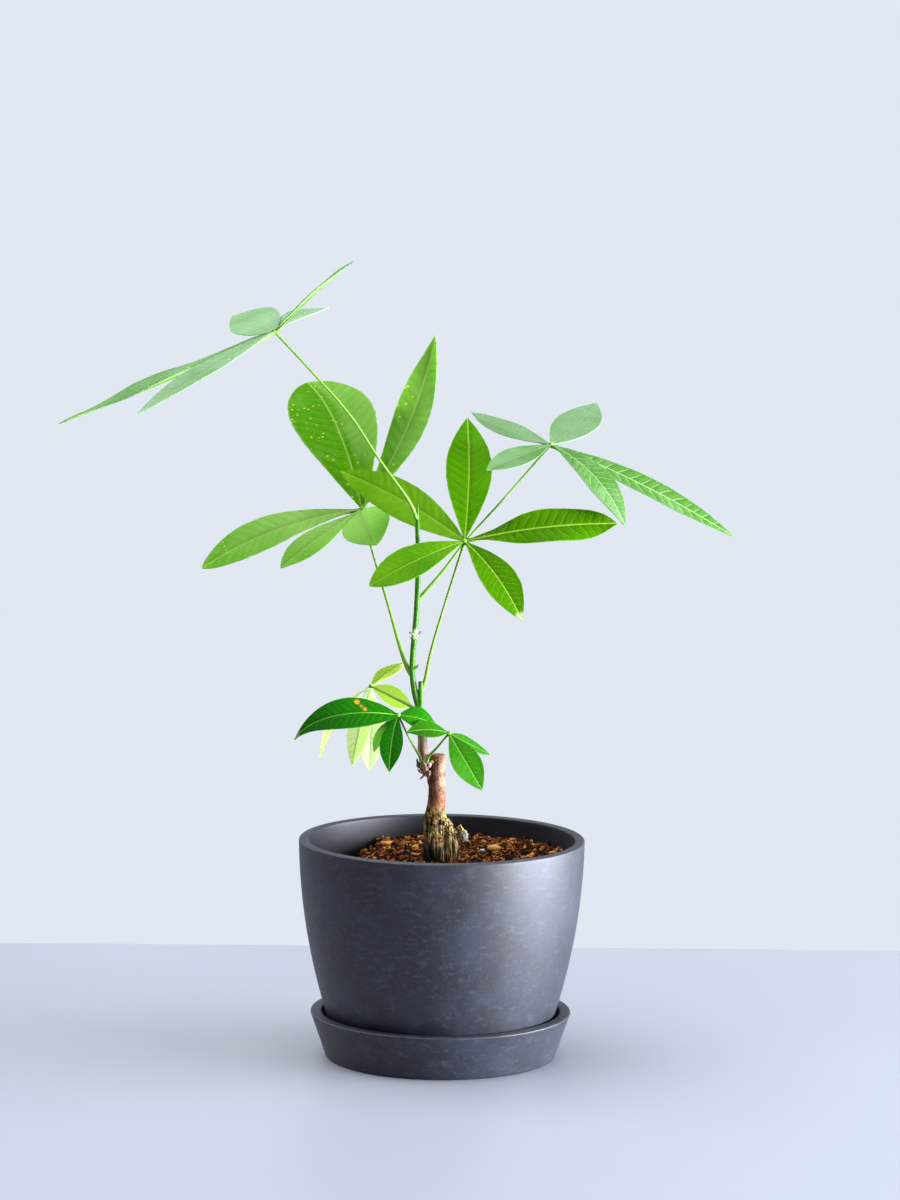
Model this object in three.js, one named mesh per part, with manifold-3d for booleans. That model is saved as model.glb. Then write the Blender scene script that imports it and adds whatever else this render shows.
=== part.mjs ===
// A young money tree in its pot: saucer, pot, soil, sawn trunk, green shoot and seven hand-shaped leaves.
// Millimetres, Z up. The origin is the centre of the saucer's flat underside, +X right and +Y to the back.
import * as THREE from 'three';
import * as BufferGeometryUtils from 'three/addons/utils/BufferGeometryUtils.js';
import Module from 'manifold-3d';

const wasm = await Module();
wasm.setup();

// Driving sizes of the pot and its saucer
const GAP = 0.3;
const POT_SIDES = 48;
const RIM_RADIUS = 75;
const POT_TOP = 115.5;
const POT_WALL = 5;
const POT_FLOOR = 6.5;
const RIM_ROUND = 1.2;
const WALL_HEIGHTS = [16, 30, 46, 64, 86];
const POT_TAPER = 1.1;
const POT_BELLY = 19.3;
const DRAIN_RADIUS = 6;
const FOOT_WIDTH = 10;
const FOOT_RECESS = 2;
const SAUCER_HEIGHT = 23.9;
const SAUCER_BASE_RADIUS = 60.5;
const SAUCER_FLARE = 0.345;
const SAUCER_RIM = 5.9;
const SAUCER_FLOOR = 5;

// Driving sizes of the soil
const SOIL_LEVEL = 103;
const SOIL_RINGS = 11;
const SOIL_GRAIN = 1.1;
const SOIL_WANDER = 1.4;
const SOIL_DEPTHS = [70, 45, 17];
const CHIP_THICKNESS = 2.2;
const CHIP_COUNT = 32;
const CHIP_SEED = 11;

// Driving sizes of the plant
const BLADE_THICKNESS = 0.8;
const BLADE_ROWS = 8;
const BLADE_COLUMNS = 4;
const STALK_HALF_WIDTH = 0.9;
const TIP_HALF_WIDTH = 0.35;
const HUB_RADIUS = 1.5;
const PETIOLE_SIDES = 6;
const STEM_SIDES = 8;
const TRUNK_SIDES = 16;

const POT_BASE = SAUCER_FLOOR + GAP;

// The same draws each time, between 0 and 1
function makeRandom(seed) {
  let state = seed;
  return () => {
    state = (state * 16807) % 2147483647;
    return state / 2147483647;
  };
}

function toSolid(geometry) {
  const bare = geometry.clone();
  bare.deleteAttribute('normal');
  bare.deleteAttribute('uv');
  const merged = BufferGeometryUtils.mergeVertices(bare, 1e-5);
  return new wasm.Manifold(new wasm.Mesh({
    numProp: 3,
    vertProperties: new Float32Array(merged.attributes.position.array),
    triVerts: new Uint32Array(merged.index.array),
  }));
}

function toGeometry(solid) {
  const mesh = solid.getMesh();
  const geometry = new THREE.BufferGeometry();
  geometry.setAttribute('position', new THREE.BufferAttribute(new Float32Array(mesh.vertProperties), 3));
  geometry.setIndex(new THREE.BufferAttribute(new Uint32Array(mesh.triVerts), 1));
  return geometry;
}

function fromLists(points, triangles) {
  const geometry = new THREE.BufferGeometry();
  const flat = points.flatMap((point) => [point.x, point.y, point.z]);
  geometry.setAttribute('position', new THREE.Float32BufferAttribute(flat, 3));
  geometry.setIndex(triangles.flat());
  return geometry;
}

function joined(solids) {
  return wasm.Manifold.union(solids);
}

// A body of revolution about Z from a closed outline of [radius, height]
function turned(outline) {
  const points = [...outline, outline[0]].map(([radius, height]) => new THREE.Vector2(radius, height));
  const geometry = new THREE.LatheGeometry(points, POT_SIDES);
  geometry.rotateX(Math.PI / 2);
  return geometry;
}

// Rings of points joined into one closed skin with flat ends
function skinned(rings) {
  const sides = rings[0].length;
  const points = rings.flat();
  const triangles = [];
  for (let row = 0; row < rings.length - 1; row++) {
    for (let side = 0; side < sides; side++) {
      const here = row * sides + side;
      const next = row * sides + (side + 1) % sides;
      triangles.push([here, next, next + sides], [here, next + sides, here + sides]);
    }
  }
  const first = points.length;
  const last = first + 1;
  points.push(centreOf(rings[0]), centreOf(rings[rings.length - 1]));
  const top = (rings.length - 1) * sides;
  for (let side = 0; side < sides; side++) {
    const after = (side + 1) % sides;
    triangles.push([first, after, side], [last, top + side, top + after]);
  }
  return fromLists(points, triangles);
}

function centreOf(points) {
  const sum = points.reduce((total, point) => total.add(point), new THREE.Vector3());
  return sum.divideScalar(points.length);
}

// Height levels of [height, x, y, radius] skinned with a radius that a rule may ripple round the axis
function column(levels, sides, ripple = () => 1, grow = 0) {
  const rings = levels.map(([height, x, y, radius]) => {
    const ring = [];
    for (let side = 0; side < sides; side++) {
      const angle = (side / sides) * Math.PI * 2;
      const reach = radius * ripple(angle, height) + grow;
      ring.push(new THREE.Vector3(x + reach * Math.cos(angle), y + reach * Math.sin(angle), height));
    }
    return ring;
  });
  return toSolid(skinned(rings));
}

// A round stalk along a smooth route, whose radius goes through the given values at even steps
function stalk(route, radii, sides, steps, grow = 0) {
  const curve = new THREE.CatmullRomCurve3(route.map((point) => new THREE.Vector3(...point)));
  const frames = curve.computeFrenetFrames(steps, false);
  const rings = [];
  for (let step = 0; step <= steps; step++) {
    const at = curve.getPointAt(step / steps);
    const place = (step / steps) * (radii.length - 1);
    const index = Math.min(Math.floor(place), radii.length - 2);
    const radius = THREE.MathUtils.lerp(radii[index], radii[index + 1], place - index) + grow;
    const ring = [];
    for (let side = 0; side < sides; side++) {
      const angle = (side / sides) * Math.PI * 2;
      ring.push(at.clone()
        .addScaledVector(frames.normals[step], radius * Math.cos(angle))
        .addScaledVector(frames.binormals[step], radius * Math.sin(angle)));
    }
    rings.push(ring);
  }
  return toSolid(skinned(rings));
}

function knob(x, y, z, radius, stretch = 1) {
  const geometry = new THREE.SphereGeometry(radius, 6, 4);
  geometry.rotateX(Math.PI / 2);
  geometry.scale(1, 1, stretch);
  geometry.translate(x, y, z);
  return toSolid(geometry);
}

// Outer radius of the pot at a height: nearly upright at the rim, drawn in towards the foot
function potRadius(height) {
  const down = (POT_TOP - height) / (POT_TOP - POT_BASE);
  return RIM_RADIUS - POT_TAPER * down - POT_BELLY * down * down;
}

function makePot() {
  const footRadius = potRadius(POT_BASE);
  const floorTop = POT_BASE + POT_FLOOR;
  const outline = [
    [DRAIN_RADIUS, POT_BASE + FOOT_RECESS],
    [footRadius - FOOT_WIDTH - FOOT_RECESS, POT_BASE + FOOT_RECESS],
    [footRadius - FOOT_WIDTH, POT_BASE],
    [footRadius - 2, POT_BASE],
    [footRadius, POT_BASE + 1.5],
  ];
  for (const height of WALL_HEIGHTS) {
    outline.push([potRadius(height), height]);
  }
  outline.push([potRadius(POT_TOP - RIM_ROUND), POT_TOP - RIM_ROUND]);
  outline.push([RIM_RADIUS - RIM_ROUND, POT_TOP]);
  outline.push([RIM_RADIUS - POT_WALL + RIM_ROUND, POT_TOP]);
  outline.push([RIM_RADIUS - POT_WALL, POT_TOP - RIM_ROUND]);
  for (const height of WALL_HEIGHTS.slice(1).reverse()) {
    outline.push([potRadius(height) - POT_WALL, height]);
  }
  outline.push([potRadius(floorTop + 4) - POT_WALL, floorTop + 4]);
  outline.push([potRadius(floorTop) - POT_WALL - 4, floorTop]);
  outline.push([DRAIN_RADIUS, floorTop]);
  return turned(outline);
}

function makeSaucer() {
  const wall = (height) => SAUCER_BASE_RADIUS + SAUCER_FLARE * height;
  const rim = wall(SAUCER_HEIGHT);
  const outline = [
    [0, 0],
    [wall(0) - 1.2, 0],
    [wall(1.5), 1.5],
    [wall(SAUCER_HEIGHT - 0.8), SAUCER_HEIGHT - 0.8],
    [rim - 0.9, SAUCER_HEIGHT],
    [rim - SAUCER_RIM + 0.8, SAUCER_HEIGHT],
    [wall(SAUCER_HEIGHT - 0.8) - SAUCER_RIM, SAUCER_HEIGHT - 0.8],
    [wall(SAUCER_FLOOR + 2) - SAUCER_RIM, SAUCER_FLOOR + 2],
    [wall(SAUCER_FLOOR) - SAUCER_RIM - 1.6, SAUCER_FLOOR],
    [0, SAUCER_FLOOR],
  ];
  return turned(outline);
}

// The soil lies level round the trunk, a little higher at the right and falls away at the left wall
function soilLevel(x, y) {
  const fall = 0.6 * Math.max(0, -32 - x);
  const rise = 0.035 * Math.max(0, x) + 0.02 * y;
  const swell = 0.9 * Math.sin(x / 9 + 1) * Math.cos(y / 11);
  return SOIL_LEVEL - Math.min(fall, 9) + rise + swell;
}

function makeSoil() {
  const random = makeRandom(CHIP_SEED);
  const wallRadius = (height) => potRadius(height) - POT_WALL - GAP - 0.15;
  const rimRadius = wallRadius(SOIL_LEVEL - 12);
  const points = [new THREE.Vector3(0, 0, SOIL_LEVEL)];
  const triangles = [];
  const start = (ring) => 1 + 3 * ring * (ring - 1);
  for (let ring = 1; ring <= SOIL_RINGS; ring++) {
    const count = ring * 6;
    for (let index = 0; index < count; index++) {
      const angle = (index / count) * Math.PI * 2;
      const radius = (ring / SOIL_RINGS) * rimRadius;
      const wander = ring === SOIL_RINGS ? 0 : SOIL_WANDER;
      const x = radius * Math.cos(angle) + wander * (random() - 0.5);
      const y = radius * Math.sin(angle) + wander * (random() - 0.5);
      points.push(new THREE.Vector3(x, y, soilLevel(x, y) + SOIL_GRAIN * (2 * random() - 1)));
    }
    const inner = ring === 1 ? 0 : start(ring - 1);
    const innerCount = ring === 1 ? 1 : (ring - 1) * 6;
    for (let sector = 0; sector < 6; sector++) {
      for (let step = 0; step < ring; step++) {
        const outerHere = start(ring) + (sector * ring + step) % count;
        const outerNext = start(ring) + (sector * ring + step + 1) % count;
        const innerHere = inner + (sector * (ring - 1) + step) % innerCount;
        triangles.push([innerHere, outerHere, outerNext]);
        if (step < ring - 1) {
          const innerNext = inner + (sector * (ring - 1) + step + 1) % innerCount;
          triangles.push([innerHere, outerNext, innerNext]);
        }
      }
    }
  }
  // The wall and bottom of the soil follow the inside of the pot
  const edge = start(SOIL_RINGS);
  const count = SOIL_RINGS * 6;
  const floorTop = POT_BASE + POT_FLOOR + GAP;
  let above = edge;
  for (const depth of SOIL_DEPTHS) {
    const here = points.length;
    for (let index = 0; index < count; index++) {
      const angle = (index / count) * Math.PI * 2;
      const radius = wallRadius(depth);
      points.push(new THREE.Vector3(radius * Math.cos(angle), radius * Math.sin(angle), depth));
    }
    for (let index = 0; index < count; index++) {
      const next = (index + 1) % count;
      triangles.push([above + index, here + index, here + next]);
      triangles.push([above + index, here + next, above + next]);
    }
    above = here;
  }
  const floor = points.length;
  const floorRadius = wallRadius(floorTop) - 4.5;
  for (let index = 0; index < count; index++) {
    const angle = (index / count) * Math.PI * 2;
    points.push(new THREE.Vector3(floorRadius * Math.cos(angle), floorRadius * Math.sin(angle), floorTop));
  }
  const middle = points.length;
  points.push(new THREE.Vector3(0, 0, floorTop));
  for (let index = 0; index < count; index++) {
    const next = (index + 1) % count;
    triangles.push([above + index, floor + index, floor + next]);
    triangles.push([above + index, floor + next, above + next]);
    triangles.push([floor + index, middle, floor + next]);
  }
  const ground = toSolid(fromLists(points, triangles));
  // Bark chips lie half sunk in the surface
  const chips = [];
  for (let chip = 0; chip < CHIP_COUNT; chip++) {
    const radius = 10 + 54 * Math.sqrt(random());
    const angle = random() * Math.PI * 2;
    const x = radius * Math.cos(angle);
    const y = radius * Math.sin(angle);
    const geometry = new THREE.BoxGeometry(2.5 + 4 * random(), 2 + 2.5 * random(), CHIP_THICKNESS);
    geometry.rotateX(0.7 * (random() - 0.5));
    geometry.rotateY(0.7 * (random() - 0.5));
    geometry.rotateZ(random() * Math.PI);
    geometry.translate(x, y, soilLevel(x, y) + 0.3);
    chips.push(toSolid(geometry));
  }
  return toGeometry(joined([ground, ...chips]).subtract(makeTrunk(GAP)));
}

// Ribs and knots of the old bark, strongest near the ground
function barkRipple(angle, height) {
  const rough = THREE.MathUtils.smoothstep(height, 104, 110) - THREE.MathUtils.smoothstep(height, 126, 136);
  const ribs = 0.07 * Math.sin(5 * angle + 0.06 * height) + 0.05 * Math.sin(9 * angle - 0.1 * height);
  return 1 + rough * ribs + 0.015 * Math.sin(3 * angle + height);
}

const TRUNK_LEVELS = [
  [62, -2, 0, 3.2],
  [66, -2.2, 0, 5],
  [92, -3.2, 0, 6.1],
  [103, -3.4, 0, 6.2],
  [109, -3.5, 0, 6.1],
  [115, -3.6, 0, 5.9],
  [121, -3.6, 0, 5.9],
  [127, -3.6, 0, 5.8],
  [131, -3.2, 0, 5.1],
  [135, -2.9, 0, 4.6],
  [143, -2.8, 0, 4.4],
  [151, -2.8, 0, 4.45],
  [157, -2.8, 0, 4.3],
  [160, -2.8, 0, 3.9],
];
const LOBE_LEVELS = [
  [84, 4.6, -0.6, 2.4],
  [88, 4.8, -0.6, 3.9],
  [103, 5.2, -0.6, 4.2],
  [110, 4.9, -0.6, 4],
  [117, 4.2, -0.6, 3.5],
  [122, 3, -0.6, 2.8],
  [126, 1, -0.4, 1.8],
];
const TWIG_ROUTE = [[3.6, -1, 116.5], [7.4, -1.2, 119.4], [10.6, -1.4, 121.6]];
const TWIG_RADII = [1.5, 1.3, 1.8];

// The sawn trunk with its second lobe at the ground and a broken twig; grow makes it fuller for a clear hole
function makeTrunk(grow = 0) {
  return joined([
    column(TRUNK_LEVELS, TRUNK_SIDES, barkRipple, grow),
    column(LOBE_LEVELS, 12, barkRipple, grow),
    stalk(TWIG_ROUTE, TWIG_RADII, 6, 4, grow),
  ]);
}

const STEM_ROUTE = [
  [-7.6, -0.4, 150],
  [-9.4, -0.4, 155],
  [-10.2, 0, 162],
  [-10.9, 0, 171],
  [-12.2, 0, 183],
  [-15, 0, 194],
  [-16.2, 0, 204],
  [-15.4, 0, 220],
  [-14.5, 0, 231],
  [-13.9, 0, 243],
  [-13.6, 0, 262],
  [-14, 0, 280],
  [-14.1, 0, 293],
];
const STEM_RADII = [2.2, 2.6, 2.2, 1.8, 1.5, 1.5, 1.5, 1.45, 1.35, 1.25, 1.3, 0.25];
const SIDE_SHOOT_ROUTE = [[-12.2, -0.4, 181], [-11.7, -0.8, 187], [-11.7, -0.8, 193], [-11.8, -0.8, 198.6]];
const BUD_ROUTE = [[-8.6, -2.4, 151], [-9.6, -3.8, 154.2], [-9.9, -4.6, 157]];

// The green shoot that grew from the side of the trunk, with its side shoot, buds and scales
function makeStem(grow = 0) {
  const parts = [
    stalk(STEM_ROUTE, STEM_RADII, STEM_SIDES, 22, grow),
    stalk(SIDE_SHOOT_ROUTE, [1.3, 1.35, 1.25], 8, 5, grow),
    stalk(BUD_ROUTE, [2, 2, 1.5], 8, 3, grow),
  ];
  return joined(parts);
}

function makeStemWithScales() {
  const scales = [
    stalk([[-13.6, -0.6, 222.6], [-16.2, -1, 223.4], [-18, -1.2, 224.6]], [0.9, 0.7, 0.3], 5, 3),
    stalk([[-15.6, -0.4, 222.4], [-13, -0.6, 223.2], [-11.8, -0.6, 225.2]], [0.9, 0.7, 0.3], 5, 3),
    stalk([[-16, -0.6, 205.2], [-13.8, -0.8, 206.2], [-13, -0.8, 207.6]], [0.9, 0.6, 0.3], 5, 3),
    knob(-15.4, 0, 221.4, 1.9, 0.7),
    knob(-12, -2.6, 154.6, 1.7),
    knob(-7.2, -4, 154.8, 1.5),
    knob(-10.6, -2.4, 151.6, 1.6),
    knob(-12.2, -1, 183.6, 2.2, 0.8),
  ];
  return joined([makeStem(), ...scales]).subtract(makeTrunk(GAP));
}

// Share of the full half width of a blade along its length. It is widest at the place called fullest, and
// a small taper gives a broad round blade.
function bladeShape(along, fullest, taper) {
  const power = Math.log(0.5) / Math.log(fullest);
  return Math.sin(Math.PI * Math.pow(along, power)) ** taper;
}

// One leaflet from the hub to its tip. face is where its upper side looks, bow lifts its middle (mm), hook
// lifts it up to a tip that drops sharply (mm), sweep bends it sideways (mm), fold raises its edges
// (degrees) and wave ripples them (mm).
function makeLeaflet(hub, leaflet) {
  const { tip, face, width, bow = 0, hook = 0, sweep = 0, fold = 4, wave = 0, waves = 2 } = leaflet;
  const { fullest = 0.55, taper = 0.9 } = leaflet;
  const start = new THREE.Vector3(...hub);
  const run = new THREE.Vector3(...tip).sub(start);
  const forward = run.clone().normalize();
  const up = new THREE.Vector3(...face);
  up.addScaledVector(forward, -up.dot(forward)).normalize();
  const across = forward.clone().cross(up);
  const rise = Math.tan(THREE.MathUtils.degToRad(fold));
  const rows = [];
  for (let row = 0; row <= BLADE_ROWS; row++) {
    const along = row / BLADE_ROWS;
    const arch = 4 * along * (1 - along);
    const rib = start.clone()
      .addScaledVector(run, along)
      .addScaledVector(up, bow * arch + hook * (along - along ** 8))
      .addScaledVector(across, sweep * arch);
    const least = THREE.MathUtils.lerp(STALK_HALF_WIDTH, TIP_HALF_WIDTH, along);
    const half = Math.max(least, 0.5 * width * bladeShape(Math.min(along, 0.999), fullest, taper));
    const line = [];
    for (let column = 0; column <= BLADE_COLUMNS; column++) {
      const out = (2 * column) / BLADE_COLUMNS - 1;
      const ripple = wave * out * out * Math.sin(waves * 2 * Math.PI * along + (out > 0 ? 0.6 : 2.4));
      line.push(rib.clone()
        .addScaledVector(across, half * out)
        .addScaledVector(up, half * Math.abs(out) * rise + ripple * Math.min(1, half / 4)));
    }
    rows.push(line);
  }
  return toSolid(thickened(rows, BLADE_THICKNESS));
}

// A grid of points given thickness, with the same triangles on both faces
function thickened(rows, thickness) {
  const rowCount = rows.length;
  const width = rows[0].length;
  const points = [];
  const clampedRow = (row) => Math.max(0, Math.min(rowCount - 1, row));
  const clampedColumn = (column) => Math.max(0, Math.min(width - 1, column));
  for (const offset of [thickness / 2, -thickness / 2]) {
    for (let row = 0; row < rowCount; row++) {
      for (let column = 0; column < width; column++) {
        const onward = rows[clampedRow(row + 1)][column].clone();
        const sideways = rows[row][clampedColumn(column + 1)].clone();
        onward.sub(rows[clampedRow(row - 1)][column]);
        sideways.sub(rows[row][clampedColumn(column - 1)]);
        const normal = sideways.cross(onward).normalize();
        points.push(rows[row][column].clone().addScaledVector(normal, offset));
      }
    }
  }
  const under = rowCount * width;
  const triangles = [];
  for (let row = 0; row < rowCount - 1; row++) {
    for (let column = 0; column < width - 1; column++) {
      const a = row * width + column;
      const b = a + 1;
      const c = a + width;
      const d = c + 1;
      const slant = column < (width - 1) / 2;
      const halves = slant ? [[a, b, c], [b, d, c]] : [[a, b, d], [a, d, c]];
      for (const [first, second, third] of halves) {
        triangles.push([first, second, third], [under + first, under + third, under + second]);
      }
    }
  }
  // The outline runs along one margin, over the tip, back along the other and over the stalk end
  const outline = [];
  for (let row = 0; row < rowCount; row++) {
    outline.push(row * width);
  }
  for (let column = 1; column < width; column++) {
    outline.push((rowCount - 1) * width + column);
  }
  for (let row = rowCount - 2; row >= 0; row--) {
    outline.push(row * width + width - 1);
  }
  for (let column = width - 2; column > 0; column--) {
    outline.push(column);
  }
  outline.forEach((here, index) => {
    const next = outline[(index + 1) % outline.length];
    triangles.push([here, next, under + next], [here, under + next, under + here]);
  });
  return fromLists(points, triangles);
}

// The leaves, each a petiole from the stem to a hub and the leaflets that spread from there
const LEAVES = [
  {
    name: 'leaf_top_left',
    petiole: [[-14.4, -0.6, 284], [-18, -3.4, 292.5], [-33.8, -8, 315.2], [-49, -12, 338.3], [-66, -15, 358],
      [-88.3, -18, 382.2]],
    radii: [1.1, 0.72, 0.65, 0.61, 0.58, 0.65],
    leaflets: [
      { tip: [-198, -30, 334.5], face: [-0.3, -0.1, 0.9], width: 25, bow: -1, fold: 10, wave: 0.8 },
      { tip: [-154.2, -72, 344], face: [-0.15, -0.2, 0.9], width: 18, bow: 0.5, fold: 9 },
      { tip: [-112, 34, 386.5], face: [-0.3, -0.5, 0.8], width: 25, bow: 1.5, fullest: 0.42 },
      { tip: [-47.5, -30, 419], face: [-0.7, 0, 0.7], width: 14, bow: 1, fold: 10 },
      { tip: [-61.5, 22, 391.5], face: [-0.3, -0.4, 0.8], width: 18, bow: 3 },
    ],
  },
  {
    name: 'leaf_top_right',
    petiole: [[-13.9, 0, 240.5], [-10, 2.6, 245], [-0.6, 6, 256], [11.3, 10, 271.4], [33.1, 18, 295.4],
      [55.5, 25, 321.2]],
    radii: [1.27, 0.79, 0.65, 0.61, 0.58, 0.65],
    leaflets: [
      { tip: [14, 62, 334.5], face: [0.2, -0.5, 0.8], width: 18, bow: -1.5 },
      { tip: [21.5, -8, 310.5], face: [0, -0.5, 0.8], width: 18, bow: 0.5 },
      { tip: [80.5, 75, 339], face: [-0.1, -0.6, 0.8],
        width: 25, bow: -1, sweep: 1, fullest: 0.6, taper: 0.7 },
      { tip: [94, -5, 281.5], face: [0.5, -0.7, 0.5], width: 18, bow: 4.5 },
      { tip: [153, 30, 272.5], face: [0.4, -0.4, 0.8], width: 21, bow: 3 },
    ],
  },
  {
    name: 'leaf_middle_right',
    petiole: [[-11.6, -0.6, 193.5], [-9.6, -0.2, 198.5], [-7.6, -1, 209.4], [-4.6, -2, 221.7],
      [5.7, -5, 257.3], [10.5, -6, 273.2]],
    radii: [1.19, 0.83, 0.72, 0.65, 0.61, 0.65],
    leaflets: [
      { tip: [11.5, 32, 334], face: [0, -0.8, 0.6], width: 24, bow: 3, sweep: 1.5, fold: 6 },
      { tip: [-55, 25, 306], face: [-0.1, -0.95, 0.3],
        width: 20, sweep: 2.5, fold: 6, fullest: 0.53, taper: 0.78 },
      { tip: [-38.5, -22, 251.4], face: [-0.2, -0.8, 0.6],
        width: 20, bow: 3, fold: 6, fullest: 0.6, taper: 0.75 },
      { tip: [90, 8, 281.5], face: [0, -0.8, 0.6],
        width: 21, bow: 4, sweep: -0.5, fold: 6, wave: 1.6, fullest: 0.62, taper: 0.8 },
      { tip: [40.5, -26, 234.5], face: [0.3, -0.8, 0.5], width: 20, bow: 3, sweep: -1.5, fold: 6 },
    ],
  },
  {
    name: 'leaf_middle_left',
    petiole: [[-16, 0, 201], [-19, 1.6, 206], [-23.2, 8, 217], [-28, 18, 232], [-39.4, 38, 267],
      [-43.9, 46, 283.9]],
    radii: [1.44, 1.01, 0.72, 0.65, 0.61, 0.65],
    leaflets: [
      { tip: [-75, 108, 346], face: [0.1, -0.85, 0.5],
        width: 45, bow: 13, sweep: 2, fullest: 0.6, taper: 0.65 },
      { tip: [-6, 66, 375], face: [-0.1, -0.9, 0.45],
        width: 18, bow: 4, sweep: 6.5, wave: 2.4, waves: 1.3, fold: 6 },
      { tip: [-35.2, 8, 269.3], face: [0, -0.4, 0.9],
        width: 22.5, bow: 5, sweep: 5.5, fullest: 0.68, taper: 0.55 },
      { tip: [-85.5, 14, 256], face: [-0.3, -0.5, 0.8], width: 20, bow: 1.5, fullest: 0.65, taper: 0.8 },
      { tip: [-128.5, 40, 252.5], face: [-0.3, -0.6, 0.75],
        width: 26, bow: 5, sweep: 2.5, fullest: 0.74, taper: 0.7 },
    ],
  },
  {
    name: 'leaf_low_left',
    petiole: [[-10.9, -4.2, 156.2], [-11.9, -5.2, 159.5], [-15.5, -9, 166.5], [-19.4, -12, 174.5],
      [-23.3, -14, 182.8]],
    radii: [0.85, 0.65, 0.58, 0.54, 0.58],
    leaflets: [
      { tip: [-77, -18, 170], face: [-0.2, -0.75, 0.65], width: 19, bow: 8, hook: 9, fullest: 0.43 },
      { tip: [-27.5, -32, 156], face: [0, -0.85, 0.5], width: 12, bow: 2, sweep: 1 },
      { tip: [-3.4, -8, 176.6], face: [0.1, -0.75, 0.65], width: 13, bow: 2.4, fullest: 0.5 },
      { tip: [-36, 2, 161], face: [-0.3, 0.4, 0.8], width: 9, bow: 2 },
    ],
  },
  {
    name: 'leaf_low_right',
    petiole: [[-8.5, -4.9, 156.6], [-7.2, -6, 159.8], [-2.9, -8, 164.8], [3.3, -10, 172.9]],
    radii: [0.85, 0.68, 0.58, 0.58],
    leaflets: [
      { tip: [20.7, -22, 145], face: [0.3, -0.8, 0.5], width: 16.5, bow: 3, sweep: 1.5 },
      { tip: [24.7, 12, 158.5], face: [0.3, -0.4, 0.8], width: 12 },
      { tip: [-18.5, -22, 175.2], face: [0, -0.7, 0.7], width: 11, bow: 2.5 },
    ],
  },
  {
    name: 'leaf_low_back',
    petiole: [[-12.4, 0, 182.5], [-15.7, 3.4, 184.2], [-26.4, 16, 187.7], [-38.3, 32, 191.1]],
    radii: [1.1, 0.72, 0.54, 0.58],
    leaflets: [
      { tip: [-21.7, 58, 200], face: [-0.2, -0.5, 0.85], width: 11, bow: 1 },
      { tip: [-16.5, 44, 179], face: [0, -0.8, 0.6], width: 12.5 },
      { tip: [-65.6, 38, 151], face: [-0.9, -0.35, 0.2], width: 9, bow: 6 },
      { tip: [-48, 28, 149], face: [-0.2, -0.9, 0.1], width: 12, bow: 4 },
      { tip: [-39, 36, 145], face: [0.1, -0.9, 0.1], width: 14, bow: 4 },
    ],
  },
];

function makeLeaf({ petiole, radii, leaflets }) {
  const hub = petiole[petiole.length - 1];
  const parts = [
    stalk(petiole, radii, PETIOLE_SIDES, 8),
    knob(...hub, HUB_RADIUS, 0.8),
    ...leaflets.map((leaflet) => makeLeaflet(hub, leaflet)),
  ];
  return joined(parts).subtract(makeStem(GAP)).subtract(makeTrunk(GAP));
}

function addMesh(group, name, geometry, color, roughness) {
  const material = new THREE.MeshStandardMaterial({ color, roughness, metalness: 0 });
  const mesh = new THREE.Mesh(geometry, material);
  mesh.name = name;
  group.add(mesh);
}

const plant = new THREE.Group();
addMesh(plant, 'saucer', makeSaucer(), 0x4a4c56, 0.6);
addMesh(plant, 'pot', makePot(), 0x4a4c56, 0.6);
addMesh(plant, 'soil', makeSoil(), 0x4a2c1c, 0.95);
addMesh(plant, 'trunk', toGeometry(makeTrunk()), 0x8a6b55, 0.85);
addMesh(plant, 'green_stem', toGeometry(makeStemWithScales()), 0x4f9a3f, 0.5);
for (const leaf of LEAVES) {
  addMesh(plant, leaf.name, toGeometry(makeLeaf(leaf)), 0x6fae2e, 0.45);
}

export default plant;
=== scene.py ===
"""A young money tree: round pot on a saucer, potting mix, sawn trunk, green shoot and seven leaves.

Shapes are worked out in millimetres in the object's own frame and scaled to metres as each piece is finished.
"""

import math
import random

import bmesh
import bpy
from bpy.props import FloatProperty, FloatVectorProperty, IntProperty, PointerProperty
from mathutils import Matrix, Vector, noise


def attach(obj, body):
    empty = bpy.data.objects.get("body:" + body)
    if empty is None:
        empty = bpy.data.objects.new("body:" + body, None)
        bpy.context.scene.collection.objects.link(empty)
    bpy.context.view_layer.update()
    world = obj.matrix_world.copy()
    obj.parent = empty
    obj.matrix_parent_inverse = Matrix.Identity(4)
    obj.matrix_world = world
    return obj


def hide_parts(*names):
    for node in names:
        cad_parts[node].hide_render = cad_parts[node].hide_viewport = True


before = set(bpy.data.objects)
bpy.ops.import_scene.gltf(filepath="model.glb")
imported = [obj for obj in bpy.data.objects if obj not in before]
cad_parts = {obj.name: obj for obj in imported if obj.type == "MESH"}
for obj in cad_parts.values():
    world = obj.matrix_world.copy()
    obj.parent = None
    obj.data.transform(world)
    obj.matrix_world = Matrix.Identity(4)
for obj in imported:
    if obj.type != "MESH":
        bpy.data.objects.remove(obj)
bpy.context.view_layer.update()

bl_info = {
    "name": "Potted money tree",
    "version": (1, 0, 0),
    "blender": (4, 5, 0),
    "location": "3D View > Sidebar > Money tree",
    "description": "Builds a young money tree in a round pot with a saucer, and the studio round it",
    "category": "Add Mesh",
}

MM = 0.001
UP = Vector((0, 0, 1))


def linear(hex_colour):
    """The linear colour of an sRGB hex value such as #4A4D57."""
    channels = [int(hex_colour[i:i + 2], 16) / 255 for i in (1, 3, 5)]
    return tuple(c / 12.92 if c <= 0.04045 else ((c + 0.055) / 1.055) ** 2.4 for c in channels)


def length_property(name, description, millimetres):
    """A length that a user may change, kept in metres."""
    return FloatProperty(name=name, description=description, default=millimetres * MM, min=0,
                         precision=4, unit="LENGTH", subtype="DISTANCE")


def colour_property(name, description, hex_colour):
    """A colour that a user may change, kept linear."""
    return FloatVectorProperty(name=name, description=description, default=linear(hex_colour),
                               min=0, max=1, size=3, subtype="COLOR")


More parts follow.
